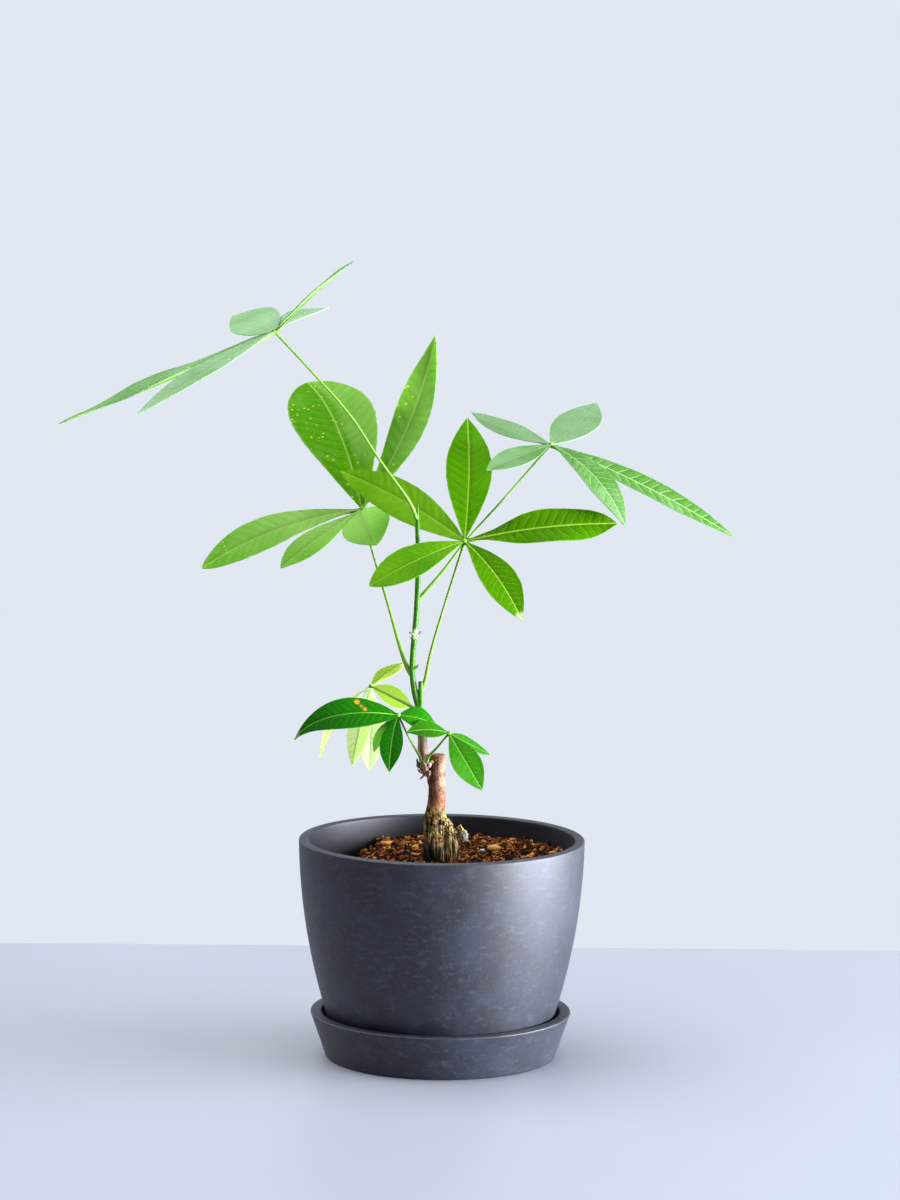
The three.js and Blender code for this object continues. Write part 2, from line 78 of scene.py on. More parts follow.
class MoneyTreePot(bpy.types.PropertyGroup):
    """Sizes and colour of the pot and its saucer."""

    rim_radius: length_property("Rim radius", "Outer radius of the pot's rim", 75)
    top: length_property("Rim height", "Height of the pot's rim over the table", 115.5)
    wall: length_property("Wall", "Thickness of the pot's wall", 5)
    taper: length_property("Taper", "How far the wall draws in evenly from rim to foot", 1.1)
    belly: length_property("Belly", "How far it draws in besides, faster towards the foot", 19.3)
    saucer_radius: length_property("Saucer foot", "Radius of the saucer where it stands", 60.5)
    saucer_height: length_property("Saucer height", "Height of the saucer's rim", 23.9)
    saucer_rim: length_property("Saucer rim", "Width of the saucer's flat rim", 5.9)
    colour: colour_property("Colour", "Body colour of the moulded composite", "#0A0F1C")
    bloom: colour_property("Bloom", "Paler cloud that handling and the mould leave on it", "#2C3346")


class MoneyTreeSoil(bpy.types.PropertyGroup):
    """Level, grain and colours of the potting mix."""

    level: length_property("Level", "Height of the soil at the trunk", 103)
    crumbs: IntProperty(name="Crumbs", description="Loose crumbs, chips and fibres on the soil",
                        default=5600, min=0, max=6000)
    # The near-black damp mix is painted shade of the gaps between the crumbs over the mix's own dark colour
    dark: colour_property("Damp mix", "Colour of the damp mix between the crumbs", "#0C0503")
    middle: colour_property("Coir", "Colour of most crumbs", "#6C3418")
    light: colour_property("Bark chips", "Colour of the dry chips", "#C07E3C")


class MoneyTreeWood(bpy.types.PropertyGroup):
    """Colours of the trunk and the green shoot."""

    fresh: colour_property("Upper bark", "Thin pinkish bark under the saw cut", "#67412E")
    flaky: colour_property("Flaky bark", "Yellow-green film on the flaking bark", "#A0964E")
    # The near-black root bark is painted shade on the main stem at the ground
    base: colour_property("Root bark", "Dark ribbed bark at the ground", "#0E0905")
    shoot: colour_property("Shoot", "Green bark of the young shoot", "#4E8E16")
    shoot_foot: colour_property("Shoot foot", "Pinkish brown bark at the shoot's foot", "#A98673")


class MoneyTreeLeaves(bpy.types.PropertyGroup):
    """Thickness and colours of the leaves."""

    thickness: length_property("Blade", "Thickness of a leaflet between its veins", 0.4)
    lush: colour_property("Middle leaves", "Full green of the two middle leaves", "#4A8600")
    pale: colour_property("Top leaves", "Greyer green of the two top leaves", "#4A7C2A")
    dark: colour_property("Low leaves", "Dark green of the low left leaf", "#156405")
    fresh: colour_property("Fresh leaf", "Fresh green of the low right leaf", "#296A04")
    young: colour_property("Young leaf", "Pale green of the leaf behind", "#84A62A")
    stalk: colour_property("Leaf stalks", "Green of the leaf stalks", "#64902C")


PROPERTY_GROUPS = {
    "money_tree_pot": MoneyTreePot,
    "money_tree_soil": MoneyTreeSoil,
    "money_tree_wood": MoneyTreeWood,
    "money_tree_leaves": MoneyTreeLeaves,
}


def node(tree, kind, inputs=None, settings=None):
    """Add a node, set its properties, and give its inputs a value or a link from another node's output."""
    made = tree.nodes.new(kind)
    for name, value in (settings or {}).items():
        setattr(made, name, value)
    for name, value in (inputs or {}).items():
        if isinstance(value, bpy.types.NodeSocket):
            tree.links.new(value, made.inputs[name])
        else:
            made.inputs[name].default_value = value
    return made


# The sockets of a colour mix: factor, first and second colour, and the result
FACTOR, FIRST, SECOND, MIXED = 0, 6, 7, 2
# The sockets of a map range: LOW to HIGH become LEAST to MOST, or 0 to 1 where those aren't given
LOW, HIGH, LEAST, MOST = 1, 2, 3, 4
COLOUR_MIX = {"data_type": "RGBA"}
MULTIPLIED = {"data_type": "RGBA", "blend_type": "MULTIPLY"}
SMOOTH_STEP = {"interpolation_type": "SMOOTHSTEP"}
TIMES = {"operation": "MULTIPLY"}


def per_mm(size):
    """The texture scale at which one feature is this many millimetres wide on Object coordinates."""
    return 1 / (size * MM)


def new_material(name):
    """An empty node material, its tree, and the place on the object in metres."""
    material = bpy.data.materials.new(name)
    material.use_nodes = True
    tree = material.node_tree
    tree.nodes.clear()
    return material, tree, node(tree, "ShaderNodeTexCoord").outputs["Object"]


def opaque(colour):
    """A linear colour with full alpha."""
    return (*colour[:3], 1)


def shade(hex_colour):
    """An opaque linear colour from its sRGB hex value."""
    return opaque(linear(hex_colour))


def layered(tree, colour, layers, settings=COLOUR_MIX):
    """Lay colours over a first one, or multiply it by them, each with its own share."""
    for share, over in layers:
        mix = node(tree, "ShaderNodeMix", {FACTOR: share, FIRST: colour, SECOND: over}, settings)
        colour = mix.outputs[MIXED]
    return colour


def grain_share(tree, place, size, low, high, most=1.0, detail=3.0, roughness=0.6):
    """A share from a noise with grains of this size in mm: 0 below one of its values, most above another."""
    grain = node(tree, "ShaderNodeTexNoise",
                 {"Vector": place, "Scale": per_mm(size), "Detail": detail, "Roughness": roughness})
    return node(tree, "ShaderNodeMapRange",
                {"Value": grain.outputs["Fac"], LOW: low, HIGH: high, MOST: most}, SMOOTH_STEP).outputs[0]


def dot_share(tree, place, spacing, outer, inner, most):
    """A share of most in round dots this many mm apart, fading out between two radii in parts of that."""
    cells = node(tree, "ShaderNodeTexVoronoi", {"Vector": place, "Scale": per_mm(spacing)})
    return node(tree, "ShaderNodeMapRange",
                {"Value": cells.outputs["Distance"], LOW: outer, HIGH: inner, MOST: most},
                SMOOTH_STEP).outputs[0]


def axis_share(tree, place, low, high, axis="Z"):
    """A smooth share along an axis, 0 below and 1 above two places in millimetres."""
    axes = node(tree, "ShaderNodeSeparateXYZ", {0: place})
    return node(tree, "ShaderNodeMapRange", {"Value": axes.outputs[axis], LOW: low * MM, HIGH: high * MM},
                SMOOTH_STEP).outputs[0]


# The part of a mark's reach within which it has its full strength
MARK_CORE = 0.45


def marked(tree, place, colour, marks):
    """Lay round soft marks of (place, reach, colour, strength) over a colour."""
    layers = []
    for spot, reach, hex_colour, strength in marks:
        away = node(tree, "ShaderNodeVectorMath", {0: place, 1: tuple(value * MM for value in spot)},
                    {"operation": "DISTANCE"})
        share = node(tree, "ShaderNodeMapRange", {"Value": away.outputs["Value"], LOW: reach * MM,
                                                  HIGH: reach * MARK_CORE * MM, MOST: strength}, SMOOTH_STEP)
        layers.append((share.outputs[0], shade(hex_colour)))
    return layered(tree, colour, layers)


def smoothstep(low, high, value):
    """0 below low, 1 above high, and a smooth rise between them."""
    t = min(max((value - low) / (high - low), 0), 1)
    return t * t * (3 - 2 * t)


def add_piece(name, bm, cad_node, materials, crease=math.pi):
    """Make a shape in millimetres a piece in metres, smooth but for edges past the crease angle."""
    bmesh.ops.scale(bm, vec=(MM, MM, MM), verts=bm.verts)
    mesh = bpy.data.meshes.new(name)
    bm.to_mesh(mesh)
    bm.free()
    mesh.shade_smooth()
    if crease < math.pi:
        mesh.set_sharp_from_angle(angle=crease)
    for material in materials:
        mesh.materials.append(material)
    piece = bpy.data.objects.new(name, mesh)
    bpy.context.scene.collection.objects.link(piece)
    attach(piece, "root")
    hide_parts(cad_node)


def turned(outline, steps, closed=True):
    """Spin an outline of (radius, height) round the upright axis; an open one starts and ends on the axis."""
    bm = bmesh.new()
    verts = [bm.verts.new((radius, 0, height)) for radius, height in outline]
    edges = [bm.edges.new(pair) for pair in zip(verts, verts[1:])]
    if closed:
        edges.append(bm.edges.new((verts[-1], verts[0])))
    bmesh.ops.spin(bm, geom=verts + edges, cent=(0, 0, 0), axis=(0, 0, 1), angle=math.tau, steps=steps,
                   use_merge=True)
    bmesh.ops.remove_doubles(bm, verts=bm.verts, dist=0.002)
    bmesh.ops.recalc_face_normals(bm, faces=bm.faces)
    return bm


def rounded(radius, height, corner, start, end, steps=6):
    """Points of an arc round (radius, height), from one angle in degrees to another."""
    angles = [math.radians(start + (end - start) * i / steps) for i in range(steps + 1)]
    return [(radius + corner * math.cos(a), height + corner * math.sin(a)) for a in angles]


def spread(start, end, count):
    """Even values from start to end, both included."""
    return [start + (end - start) * i / (count - 1) for i in range(count)]


def pot_radius(pot, height):
    """Outer radius of the pot at a height: nearly upright at the rim, drawn in towards the foot."""
    down = (pot.top / MM - height) / (pot.top / MM - POT_BASE)
    return (pot.rim_radius - pot.taper * down - pot.belly * down * down) / MM


# The pot's base is just over the saucer's floor. A name with ROUND is the radius of a corner
SAUCER_FLOOR = 5
SAUCER_ROUND = 0.8
POT_BASE = 5.3
POT_FLOOR = 6.5
RIM_ROUND = 1.1
FOOT_ROUND = 1.5
FLOOR_ROUND = 4
DRAIN_RADIUS = 6
FOOT_WIDTH = 10
FOOT_RECESS = 2
SAUCER_FLARE = 0.345
TURNED_STEPS = 180


def pot_outline(pot):
    """The pot's section: foot ring, outer wall, rounded rim, inner wall, floor and drain hole."""
    top = pot.top / MM
    wall = pot.wall / MM
    rim = pot.rim_radius / MM
    foot = pot_radius(pot, POT_BASE)
    floor = POT_BASE + POT_FLOOR
    bend = floor + FLOOR_ROUND
    outline = [(DRAIN_RADIUS, POT_BASE + FOOT_RECESS)]
    outline += [(r, POT_BASE + FOOT_RECESS) for r in spread(DRAIN_RADIUS + 6, foot - FOOT_WIDTH - 2, 5)]
    outline += rounded(foot - FOOT_WIDTH + 1, POT_BASE + 1, 1, 180, 270)
    outline += rounded(pot_radius(pot, POT_BASE + FOOT_ROUND) - FOOT_ROUND, POT_BASE + FOOT_ROUND, FOOT_ROUND,
                       270, 352)
    outline += [(pot_radius(pot, z), z) for z in spread(POT_BASE + 3, top - RIM_ROUND - 0.8, 44)]
    outline += rounded(rim - RIM_ROUND, top - RIM_ROUND, RIM_ROUND, 0, 90)
    outline += rounded(rim - wall + RIM_ROUND, top - RIM_ROUND, RIM_ROUND, 90, 180)
    outline += [(pot_radius(pot, z) - wall, z) for z in spread(top - RIM_ROUND - 1.5, bend + 1, 36)]
    outline += rounded(pot_radius(pot, bend) - wall - FLOOR_ROUND, bend, FLOOR_ROUND, 0, -90)
    outline += [(r, floor) for r in spread(pot_radius(pot, floor) - wall - 6, DRAIN_RADIUS, 6)]
    return outline


def saucer_outline(pot):
    """The saucer's section, from the middle of its underside round the rim to the middle of its floor."""
    height = pot.saucer_height / MM
    width = pot.saucer_rim / MM

    def wall(z):
        return pot.saucer_radius / MM + SAUCER_FLARE * z

    outline = [(r, 0) for r in spread(0, wall(0) - 4, 12)]
    outline += rounded(wall(1) - 1, 1, 1, -90, -19)
    outline += [(wall(z), z) for z in spread(1.8, height - 1.4, 14)]
    outline += rounded(wall(height) - 1.05, height - SAUCER_ROUND, SAUCER_ROUND, 0, 90)
    outline += rounded(wall(height) - width + 0.55, height - SAUCER_ROUND, SAUCER_ROUND, 90, 180)
    outline += [(wall(z) - width, z) for z in spread(height - 1.6, SAUCER_FLOOR + 2.2, 12)]
    outline += rounded(wall(SAUCER_FLOOR) - width - 1.4, SAUCER_FLOOR + 1.6, 1.6, -10, -90)
    outline += [(r, SAUCER_FLOOR) for r in spread(wall(0) - width - 5, 0, 12)]
    return outline


# Small chips of the seal on the saucer and the pot: place and reach in mm, colour and strength
POT_MARKS = (
    ((10.9, -63.9, 12.6), 1.5, "#07080B", 0.85),
    ((-36.0, -66.5, 30.0), 1.1, "#8A8D99", 0.6),
)


def composite_material(pot):
    """Moulded composite of resin and stone powder, matt from the mould.

    It gives a dark blue-grey with faint clouds, fine pale dust in its pores, short rub marks round the
    wall and, from a thin satin seal, a broad soft shine on the side of the light. Inside, above the mix,
    painted shade darkens the wall.
    """
    material, tree, place = new_material("moulded_stone_composite")
    clouds = node(tree, "ShaderNodeTexNoise", {"Vector": place, "Scale": per_mm(24), "Detail": 6.0,
                                               "Roughness": 0.66, "Distortion": 0.4})
    clouded = node(tree, "ShaderNodeMapRange",
                   {"Value": clouds.outputs["Fac"], LOW: 0.38, HIGH: 0.72, MOST: 0.4}, SMOOTH_STEP)
    # Rub marks run round the wall, so the pattern is drawn out level
    drawn_out = node(tree, "ShaderNodeMapping", {"Vector": place, "Scale": (0.4, 0.4, 1.0)})
    # Inside, above the mix, the wall is darkened: painted shade in the pot's hollow
    off_axis = node(tree, "ShaderNodeVectorMath", {0: place, 1: (1.0, 1.0, 0.0)}, TIMES)
    reach = node(tree, "ShaderNodeVectorMath", {0: off_axis.outputs[0]}, {"operation": "LENGTH"})
    inward = node(tree, "ShaderNodeMapRange",
                  {"Value": reach.outputs["Value"], LOW: pot.rim_radius - 0.85 * pot.wall,
                   HIGH: pot.rim_radius - 0.98 * pot.wall, MOST: 0.85}, SMOOTH_STEP)
    painted_inner_shade = node(tree, "ShaderNodeMath", {0: inward.outputs[0], 1: axis_share(tree, place, 80, 90)}, TIMES)
    colour = layered(tree, opaque(pot.colour), (
        (clouded.outputs[0], opaque(pot.bloom)),
        (grain_share(tree, drawn_out.outputs[0], 2.2, 0.5, 0.8, most=0.22, roughness=0.55), shade("#5C5F6C")),
        (dot_share(tree, place, 1.6, 0.2, 0.07, 0.24), shade("#7C7F8C")),
        (painted_inner_shade.outputs[0], shade("#0C1020")),
    ))
    roughness = node(tree, "ShaderNodeMapRange",
                     {"Value": clouds.outputs["Fac"], LOW: 0.3, HIGH: 0.7, LEAST: 0.55, MOST: 0.59})
    grain = node(tree, "ShaderNodeTexNoise",
                 {"Vector": place, "Scale": per_mm(0.7), "Detail": 3.0, "Roughness": 0.6})
    fine = node(tree, "ShaderNodeBump",
                {"Height": grain.outputs["Fac"], "Strength": 0.22, "Distance": 0.12 * MM})
    shader = node(tree, "ShaderNodeBsdfPrincipled",
                  {"Base Color": marked(tree, place, colour, POT_MARKS), "Roughness": roughness.outputs[0],
                   "Normal": fine.outputs[0], "IOR": 1.52, "Specular IOR Level": 0.5, "Coat Weight": 0.15,
                   "Coat Roughness": 0.42})
    node(tree, "ShaderNodeOutputMaterial", {"Surface": shader.outputs[0]})
    return material


# Left of this place the mix falls away, with this slope and down to this depth
LEFT_EDGE = -32
LEFT_SLOPE = 0.6
LEFT_DEPTH = 9


def soil_level(x, y, level):
    """Level round the trunk, a little higher at the right, and falling away at the left wall."""
    fall = min(LEFT_SLOPE * max(0, LEFT_EDGE - x), LEFT_DEPTH)
    rise = 0.035 * max(0, x) + 0.02 * y
    swell = 0.9 * math.sin(x / 9 + 1) * math.cos(y / 11)
    return level - fall + rise + swell


# The mix is lumpy at two sizes, in millimetres across and in height, and it has round granules
LUMPS = ((7.0, 1.5), (2.6, 1.0))
GRANULE = 2.2
GRANULE_RISE = 0.8
SOIL_RINGS = 96
SOIL_STEPS = 230
# A height that marks the points of the top until they get their own
TOP_MARK = 1000


def soil_height(x, y, level):
    """The soil's surface with its lumps, at a place in millimetres."""
    height = soil_level(x, y, level)
    for size, rise in LUMPS:
        height += rise * noise.noise(Vector((x / size, y / size, size)))
    nearest = noise.voronoi(Vector((x / GRANULE, y / GRANULE, 0.4)))[0][0]
    return height + GRANULE_RISE * (0.45 - nearest)


def soil_body(pot, level):
    """The bed of potting mix: lumpy on top, and against the pot's inner wall down to its floor."""
    wall = pot.wall / MM + 0.1
    rim = pot_radius(pot, level - 4) - wall
    outline = [(rim * i / SOIL_RINGS, TOP_MARK) for i in range(SOIL_RINGS + 1)]
    outline += [(pot_radius(pot, z) - wall, z) for z in spread(90, 14, 9)]
    outline.append((0, POT_BASE + POT_FLOOR + 0.4))
    bm = turned(outline, SOIL_STEPS, closed=False)
    for vert in bm.verts:
        if vert.co.z > TOP_MARK - 1:
            x, y = vert.co.x, vert.co.y
            vert.co.z = soil_height(x, y, level)
            wall_here = pot_radius(pot, vert.co.z) - wall
            far = math.hypot(x, y)
            if far > wall_here - 0.5:
                vert.co.x *= (wall_here - 0.1) / far
                vert.co.y *= (wall_here - 0.1) / far
    return bm


# Crumb kinds: share of all, least and greatest size in mm, stretch of length, width and thickness, tones
CRUMB_KINDS = {
    "crumb": (0.62, 0.6, 1.8, (1.0, 0.85, 0.75), (0.05, 0.75)),
    "chip": (0.2, 1.5, 3.5, (1.2, 0.75, 0.30), (0.15, 1.0)),
    "fibre": (0.18, 2.5, 6.0, (1.0, 0.09, 0.08), (0.30, 0.95)),
}
CRUMB_SEED = 7
LOOKS_PER_KIND = 5
# Where the trunk and its lobe stand, and how far round them no crumbs lie
STEM_FEET = ((-3.4, 0, 6), (5.2, -0.6, 4))
# The tone of a white mineral grain
WHITE = 2.0
# Chips that stand out: place, size and tone
MARKED_CHIPS = (
    (27.1, 22.4, 6.5, 1.35),
    (-29.3, 35.9, 6.0, 1.15),
    (21.4, 21.7, 3.2, WHITE),
    (10.5, -22.0, 5.5, 1.1),
    (-14.0, 28.0, 4.5, 1.0),
    (44.0, 6.0, 5.0, 1.1),
    (-20.0, -34.0, 5.5, 1.1),
)


def crumb_template(kind, draw):
    """A small rough shape about 1 mm across, made once for each kind and look."""
    bm = bmesh.new()
    if kind == "crumb":
        bmesh.ops.create_icosphere(bm, subdivisions=1, radius=0.5)
    elif kind == "chip":
        bmesh.ops.create_cube(bm, size=0.9)
        bmesh.ops.subdivide_edges(bm, edges=bm.edges[:4], cuts=1)
    else:
        bmesh.ops.create_cone(bm, cap_ends=True, segments=4, radius1=0.5, radius2=0.3, depth=1)
        bmesh.ops.rotate(bm, matrix=Matrix.Rotation(math.pi / 2, 3, "Y"), verts=bm.verts)
    for vert in bm.verts:
        vert.co += Vector([draw.uniform(-0.13, 0.13) for _ in range(3)])
    mesh = bpy.data.meshes.new(kind)
    bm.to_mesh(mesh)
    bm.free()
    mesh.attributes.new("crumb_tone", "FLOAT", "POINT")
    return mesh


def drop_crumb(bm, template, stretch, size, spot, turn, tone):
    """Put one copy of a template on the soil, sized, turned and toned."""
    copy = template.copy()
    scale = Matrix.Diagonal(Vector(stretch) * size).to_4x4()
    copy.transform(Matrix.Translation(spot) @ turn @ scale)
    copy.attributes["crumb_tone"].data.foreach_set("value", [tone] * len(copy.vertices))
    bm.from_mesh(copy)
    bpy.data.meshes.remove(copy)


def scatter_crumbs(bm, pot, soil):
    """Scatter loose crumbs, chips and fibres evenly over the soil, clear of the trunk and the wall."""
    draw = random.Random(CRUMB_SEED)
    level = soil.level / MM
    looks = {kind: [crumb_template(kind, draw) for _ in range(LOOKS_PER_KIND)] for kind in CRUMB_KINDS}
    for kind, (share, least, greatest, stretch, tones) in CRUMB_KINDS.items():
        for _ in range(int(soil.crumbs * share)):
            size = least + (greatest - least) * draw.random() ** 2.2
            reach = pot_radius(pot, level) - pot.wall / MM - 0.35 * size - 0.5
            far = reach * math.sqrt(draw.random())
            angle = draw.uniform(0, math.tau)
            x, y = far * math.cos(angle), far * math.sin(angle)
            turn = Matrix.Rotation(draw.uniform(0, math.tau), 4, "Z")
            turn = turn @ Matrix.Rotation(draw.gauss(0, 0.45), 4, "Y")
            turn = turn @ Matrix.Rotation(draw.gauss(0, 0.5), 4, "X")
            tone = draw.uniform(*tones)
            lift = draw.uniform(-0.1, 0.35) * size * stretch[2] + 0.15
            template = draw.choice(looks[kind])
            if all(math.hypot(x - foot_x, y - foot_y) >= clear for foot_x, foot_y, clear in STEM_FEET):
                spot = Vector((x, y, soil_height(x, y, level) + lift))
                drop_crumb(bm, template, stretch, size, spot, turn, tone)
    for x, y, size, tone in MARKED_CHIPS:
        spot = Vector((x, y, soil_height(x, y, level) + 0.25 * size))
        turn = Matrix.Rotation(draw.uniform(0, math.tau), 4, "Z") @ Matrix.Rotation(0.35, 4, "X")
        kind, stretch = ("crumb", (1.0, 0.8, 0.8)) if tone == WHITE else ("chip", (1.0, 0.7, 0.34))
        drop_crumb(bm, draw.choice(looks[kind]), stretch, size, spot, turn, tone)
    for templates in looks.values():
        for template in templates:
            bpy.data.meshes.remove(template)


def potting_mix_material(soil):
    """Potting mix of coir and composted bark, damp: dark red-brown, near black between crumbs with painted
    shade, and crumbs dry paler on top.
    """
    material, tree, place = new_material("coir_and_bark_mix")
    tone = node(tree, "ShaderNodeAttribute", settings={"attribute_name": "crumb_tone"})
    speckle = node(tree, "ShaderNodeTexNoise",
                   {"Vector": place, "Scale": per_mm(1.4), "Detail": 4.0, "Roughness": 0.7})
    shift = node(tree, "ShaderNodeMath", {0: speckle.outputs["Fac"], 1: 0.9, 2: -0.34},
                 {"operation": "MULTIPLY_ADD"})
    mixed_tone = node(tree, "ShaderNodeMath", {0: tone.outputs["Fac"], 1: shift.outputs[0]},
                      {"operation": "ADD"})
    half = node(tree, "ShaderNodeMath", {0: mixed_tone.outputs[0], 1: 0.5}, TIMES)
    ramp = node(tree, "ShaderNodeValToRGB", {"Fac": half.outputs[0]})
    bark = ramp.color_ramp
    # The darkest end, which the bed between the crumbs takes, is painted shade of the gaps over the damp mix
    bark.elements[0].position = 0.1
    bark.elements[0].color = opaque(soil.dark)
    bark.elements[1].position = 1.0
    bark.elements[1].color = shade("#D8D2C8")
    bark.elements.new(0.3).color = opaque(soil.middle)
    bark.elements.new(0.47).color = opaque(soil.light)
    bark.elements.new(0.78).color = shade("#CC9A56")
    grain = node(tree, "ShaderNodeTexNoise",
                 {"Vector": place, "Scale": per_mm(0.45), "Detail": 3.0, "Roughness": 0.65})
    rough = node(tree, "ShaderNodeBump",
                 {"Height": grain.outputs["Fac"], "Strength": 0.6, "Distance": 0.25 * MM})
    shader = node(tree, "ShaderNodeBsdfPrincipled",
                  {"Base Color": ramp.outputs["Color"], "Roughness": 0.85, "Normal": rough.outputs[0],
                   "Specular IOR Level": 0.06})
    node(tree, "ShaderNodeOutputMaterial", {"Surface": shader.outputs[0]})
    return material


ROUTE_STEPS = 24


def smooth_route(points):
    """Close points along a smooth curve through the given ones, paced by the root of their distances."""
    given = [Vector(point) for point in points]
    given = [2 * given[0] - given[1], *given, 2 * given[-1] - given[-2]]
    route = []
    for before, start, end, after in zip(given, given[1:], given[2:], given[3:]):
        k1 = (start - before).length ** 0.5
        k2 = k1 + (end - start).length ** 0.5
        k3 = k2 + (after - end).length ** 0.5
        for i in range(ROUTE_STEPS):
            t = k1 + (k2 - k1) * i / ROUTE_STEPS
            a1 = before.lerp(start, t / k1)
            a2 = start.lerp(end, (t - k1) / (k2 - k1))
            a3 = end.lerp(after, (t - k2) / (k3 - k2))
            b1 = a1.lerp(a2, t / k2)
            b2 = a2.lerp(a3, (t - k1) / (k3 - k1))
            route.append(b1.lerp(b2, (t - k1) / (k2 - k1)))
    route.append(given[-2])
    return route


def evened(route, count):
    """This many points along a route, at even steps of its length."""
    run = [0.0]
    for here, there in zip(route, route[1:]):
        run.append(run[-1] + (there - here).length)
    points = []
    place = 0
    for i in range(count):
        want = run[-1] * i / (count - 1)
        while place < len(run) - 2 and run[place + 1] < want:
            place += 1
        share = (want - run[place]) / max(run[place + 1] - run[place], 1e-9)
        points.append(route[place].lerp(route[place + 1], min(share, 1)))
    return points


def value_along(values, share):
    """The value at a share of the way through a list of evenly placed ones."""
    place = share * (len(values) - 1)
    index = min(int(place), len(values) - 2)
    return values[index] + (values[index + 1] - values[index]) * (place - index)


def touching(verts):
    """The faces that use any of these points, each once."""
    return list({face for vert in verts for face in vert.link_faces})


def tube(bm, points, radii, sides):
    """A round closed stalk: a circle extruded along its close points, with both ends filled."""
    aim = UP.rotation_difference(points[1] - points[0])
    turn = Matrix.Translation(points[0]) @ aim.to_matrix().to_4x4()
    ring = bmesh.ops.create_circle(bm, cap_ends=False, segments=sides, radius=radii[0], matrix=turn)["verts"]
    ring_edges = list({edge for vert in ring for edge in vert.link_edges})
    made = list(ring)
    loops = [ring_edges]
    along = points[1] - points[0]
    for index in range(1, len(points)):
        grown = bmesh.ops.extrude_edge_only(bm, edges=ring_edges)["geom"]
        ring = [item for item in grown if isinstance(item, bmesh.types.BMVert)]
        new = set(ring)
        ring_edges = [e for e in grown if isinstance(e, bmesh.types.BMEdge) and set(e.verts) <= new]
        ahead = points[min(index + 1, len(points) - 1)] - points[index - 1]
        bend = along.rotation_difference(ahead)
        ratio = radii[index] / radii[index - 1]
        for vert in ring:
            vert.co = points[index] + bend @ (vert.co - points[index - 1]) * ratio
        along = ahead
        made += ring
    loops.append(ring_edges)
    for edges in loops:
        bmesh.ops.contextual_create(bm, geom=edges)
    bmesh.ops.recalc_face_normals(bm, faces=touching(made))
    return made


def stalk(bm, route, radii, sides, step):
    """A stalk along a smooth route in steps of about this many millimetres."""
    smooth = smooth_route(route)
    length = sum((b - a).length for a, b in zip(smooth, smooth[1:]))
    count = max(int(length / step), 6)
    points = evened(smooth, count + 1)
    return tube(bm, points, [value_along(radii, i / count) for i in range(count + 1)], sides)


def levels_column(bm, levels, sides, step):
    """An upright stalk through levels of (height, x, y, radius)."""
    smooth = smooth_route([(x, y, height, radius) for height, x, y, radius in levels])
    count = int((levels[-1][0] - levels[0][0]) / step)
    points = evened(smooth, count + 1)
    return tube(bm, [point.to_3d() for point in points], [point[3] for point in points], sides)


def knob(bm, x, y, z, radius, stretch):
    """A small round swelling."""
    shape = Matrix.Translation((x, y, z)) @ Matrix.Diagonal((radius, radius, radius * stretch, 1))
    bmesh.ops.create_icosphere(bm, subdivisions=3, radius=1, matrix=shape)


def grown_together(bm, voxel):
    """The same shape as one skin: overlapping parts melt into each other at this voxel size."""
    mesh = bpy.data.meshes.new("melting")
    bm.to_mesh(mesh)
    bm.free()
    holder = bpy.data.objects.new("melting", mesh)
    bpy.context.scene.collection.objects.link(holder)
    remesh = holder.modifiers.new("One skin", "REMESH")
    remesh.mode = "VOXEL"
    remesh.voxel_size = voxel
    whole = bpy.data.meshes.new_from_object(holder.evaluated_get(bpy.context.evaluated_depsgraph_get()))
    bpy.data.objects.remove(holder)
    bpy.data.meshes.remove(mesh)
    skin = bmesh.new()
    skin.from_mesh(whole)
    bpy.data.meshes.remove(whole)
    bmesh.ops.recalc_face_normals(skin, faces=skin.faces)
    return skin


def carve(bm, relief, attribute):
    """Move each point of a skin along its normal by relief(point), and keep that height as an attribute."""
    bm.normal_update()
    heights = [relief(vert.co) for vert in bm.verts]
    layer = bm.verts.layers.float.new(attribute)
    moves = [vert.normal * height for vert, height in zip(bm.verts, heights)]
    for vert, move, height in zip(bm.verts, moves, heights):
        vert.co += move
        vert[layer] = height


# Levels of (height, x, y, radius): the trunk, and the second lobe that leans on it at the ground
TRUNK_LEVELS = (
    (62, -2, 0, 3.2),
    (66, -2.2, 0, 5),
    (92, -3.2, 0, 6.1),
    (103, -3.4, 0, 6.2),
    (109, -3.5, 0, 6.1),
    (115, -3.6, 0, 5.9),
    (121, -3.6, 0, 5.9),
    (127, -3.6, 0, 5.8),
    (131, -3.2, 0, 5.1),
    (135, -2.9, 0, 4.6),
    (143, -2.8, 0, 4.4),
    (151, -2.8, 0, 4.45),
    (157, -2.8, 0, 4.35),
    (160, -2.8, 0, 4.1),
)
LOBE_LEVELS = (
    (84, 4.6, -0.6, 2.4),
    (88, 4.8, -0.6, 3.9),
    (103, 5.2, -0.6, 4.2),
    (110, 4.9, -0.6, 4),
    (117, 4.2, -0.6, 3.5),
    (122, 3, -0.6, 2.8),
    (126, 1, -0.4, 1.8),
)
TWIG_ROUTE = ((3.6, -1, 116.5), (7.4, -1.2, 119.4), (10.6, -1.4, 121.6))
TWIG_RADII = (1.5, 1.3, 1.8)
# Swellings: x, y, z, radius and upright stretch
TRUNK_KNOBS = (
    (-7.2, -0.6, 150, 2.3, 1.0),
    (-5.8, -0.6, 146, 2.2, 1.5),
    (0.6, -4.7, 124.5, 1.3, 1.3),
    (11.4, -0.8, 117, 2.4, 1.45),
)
TRUNK_VOXEL = 0.36
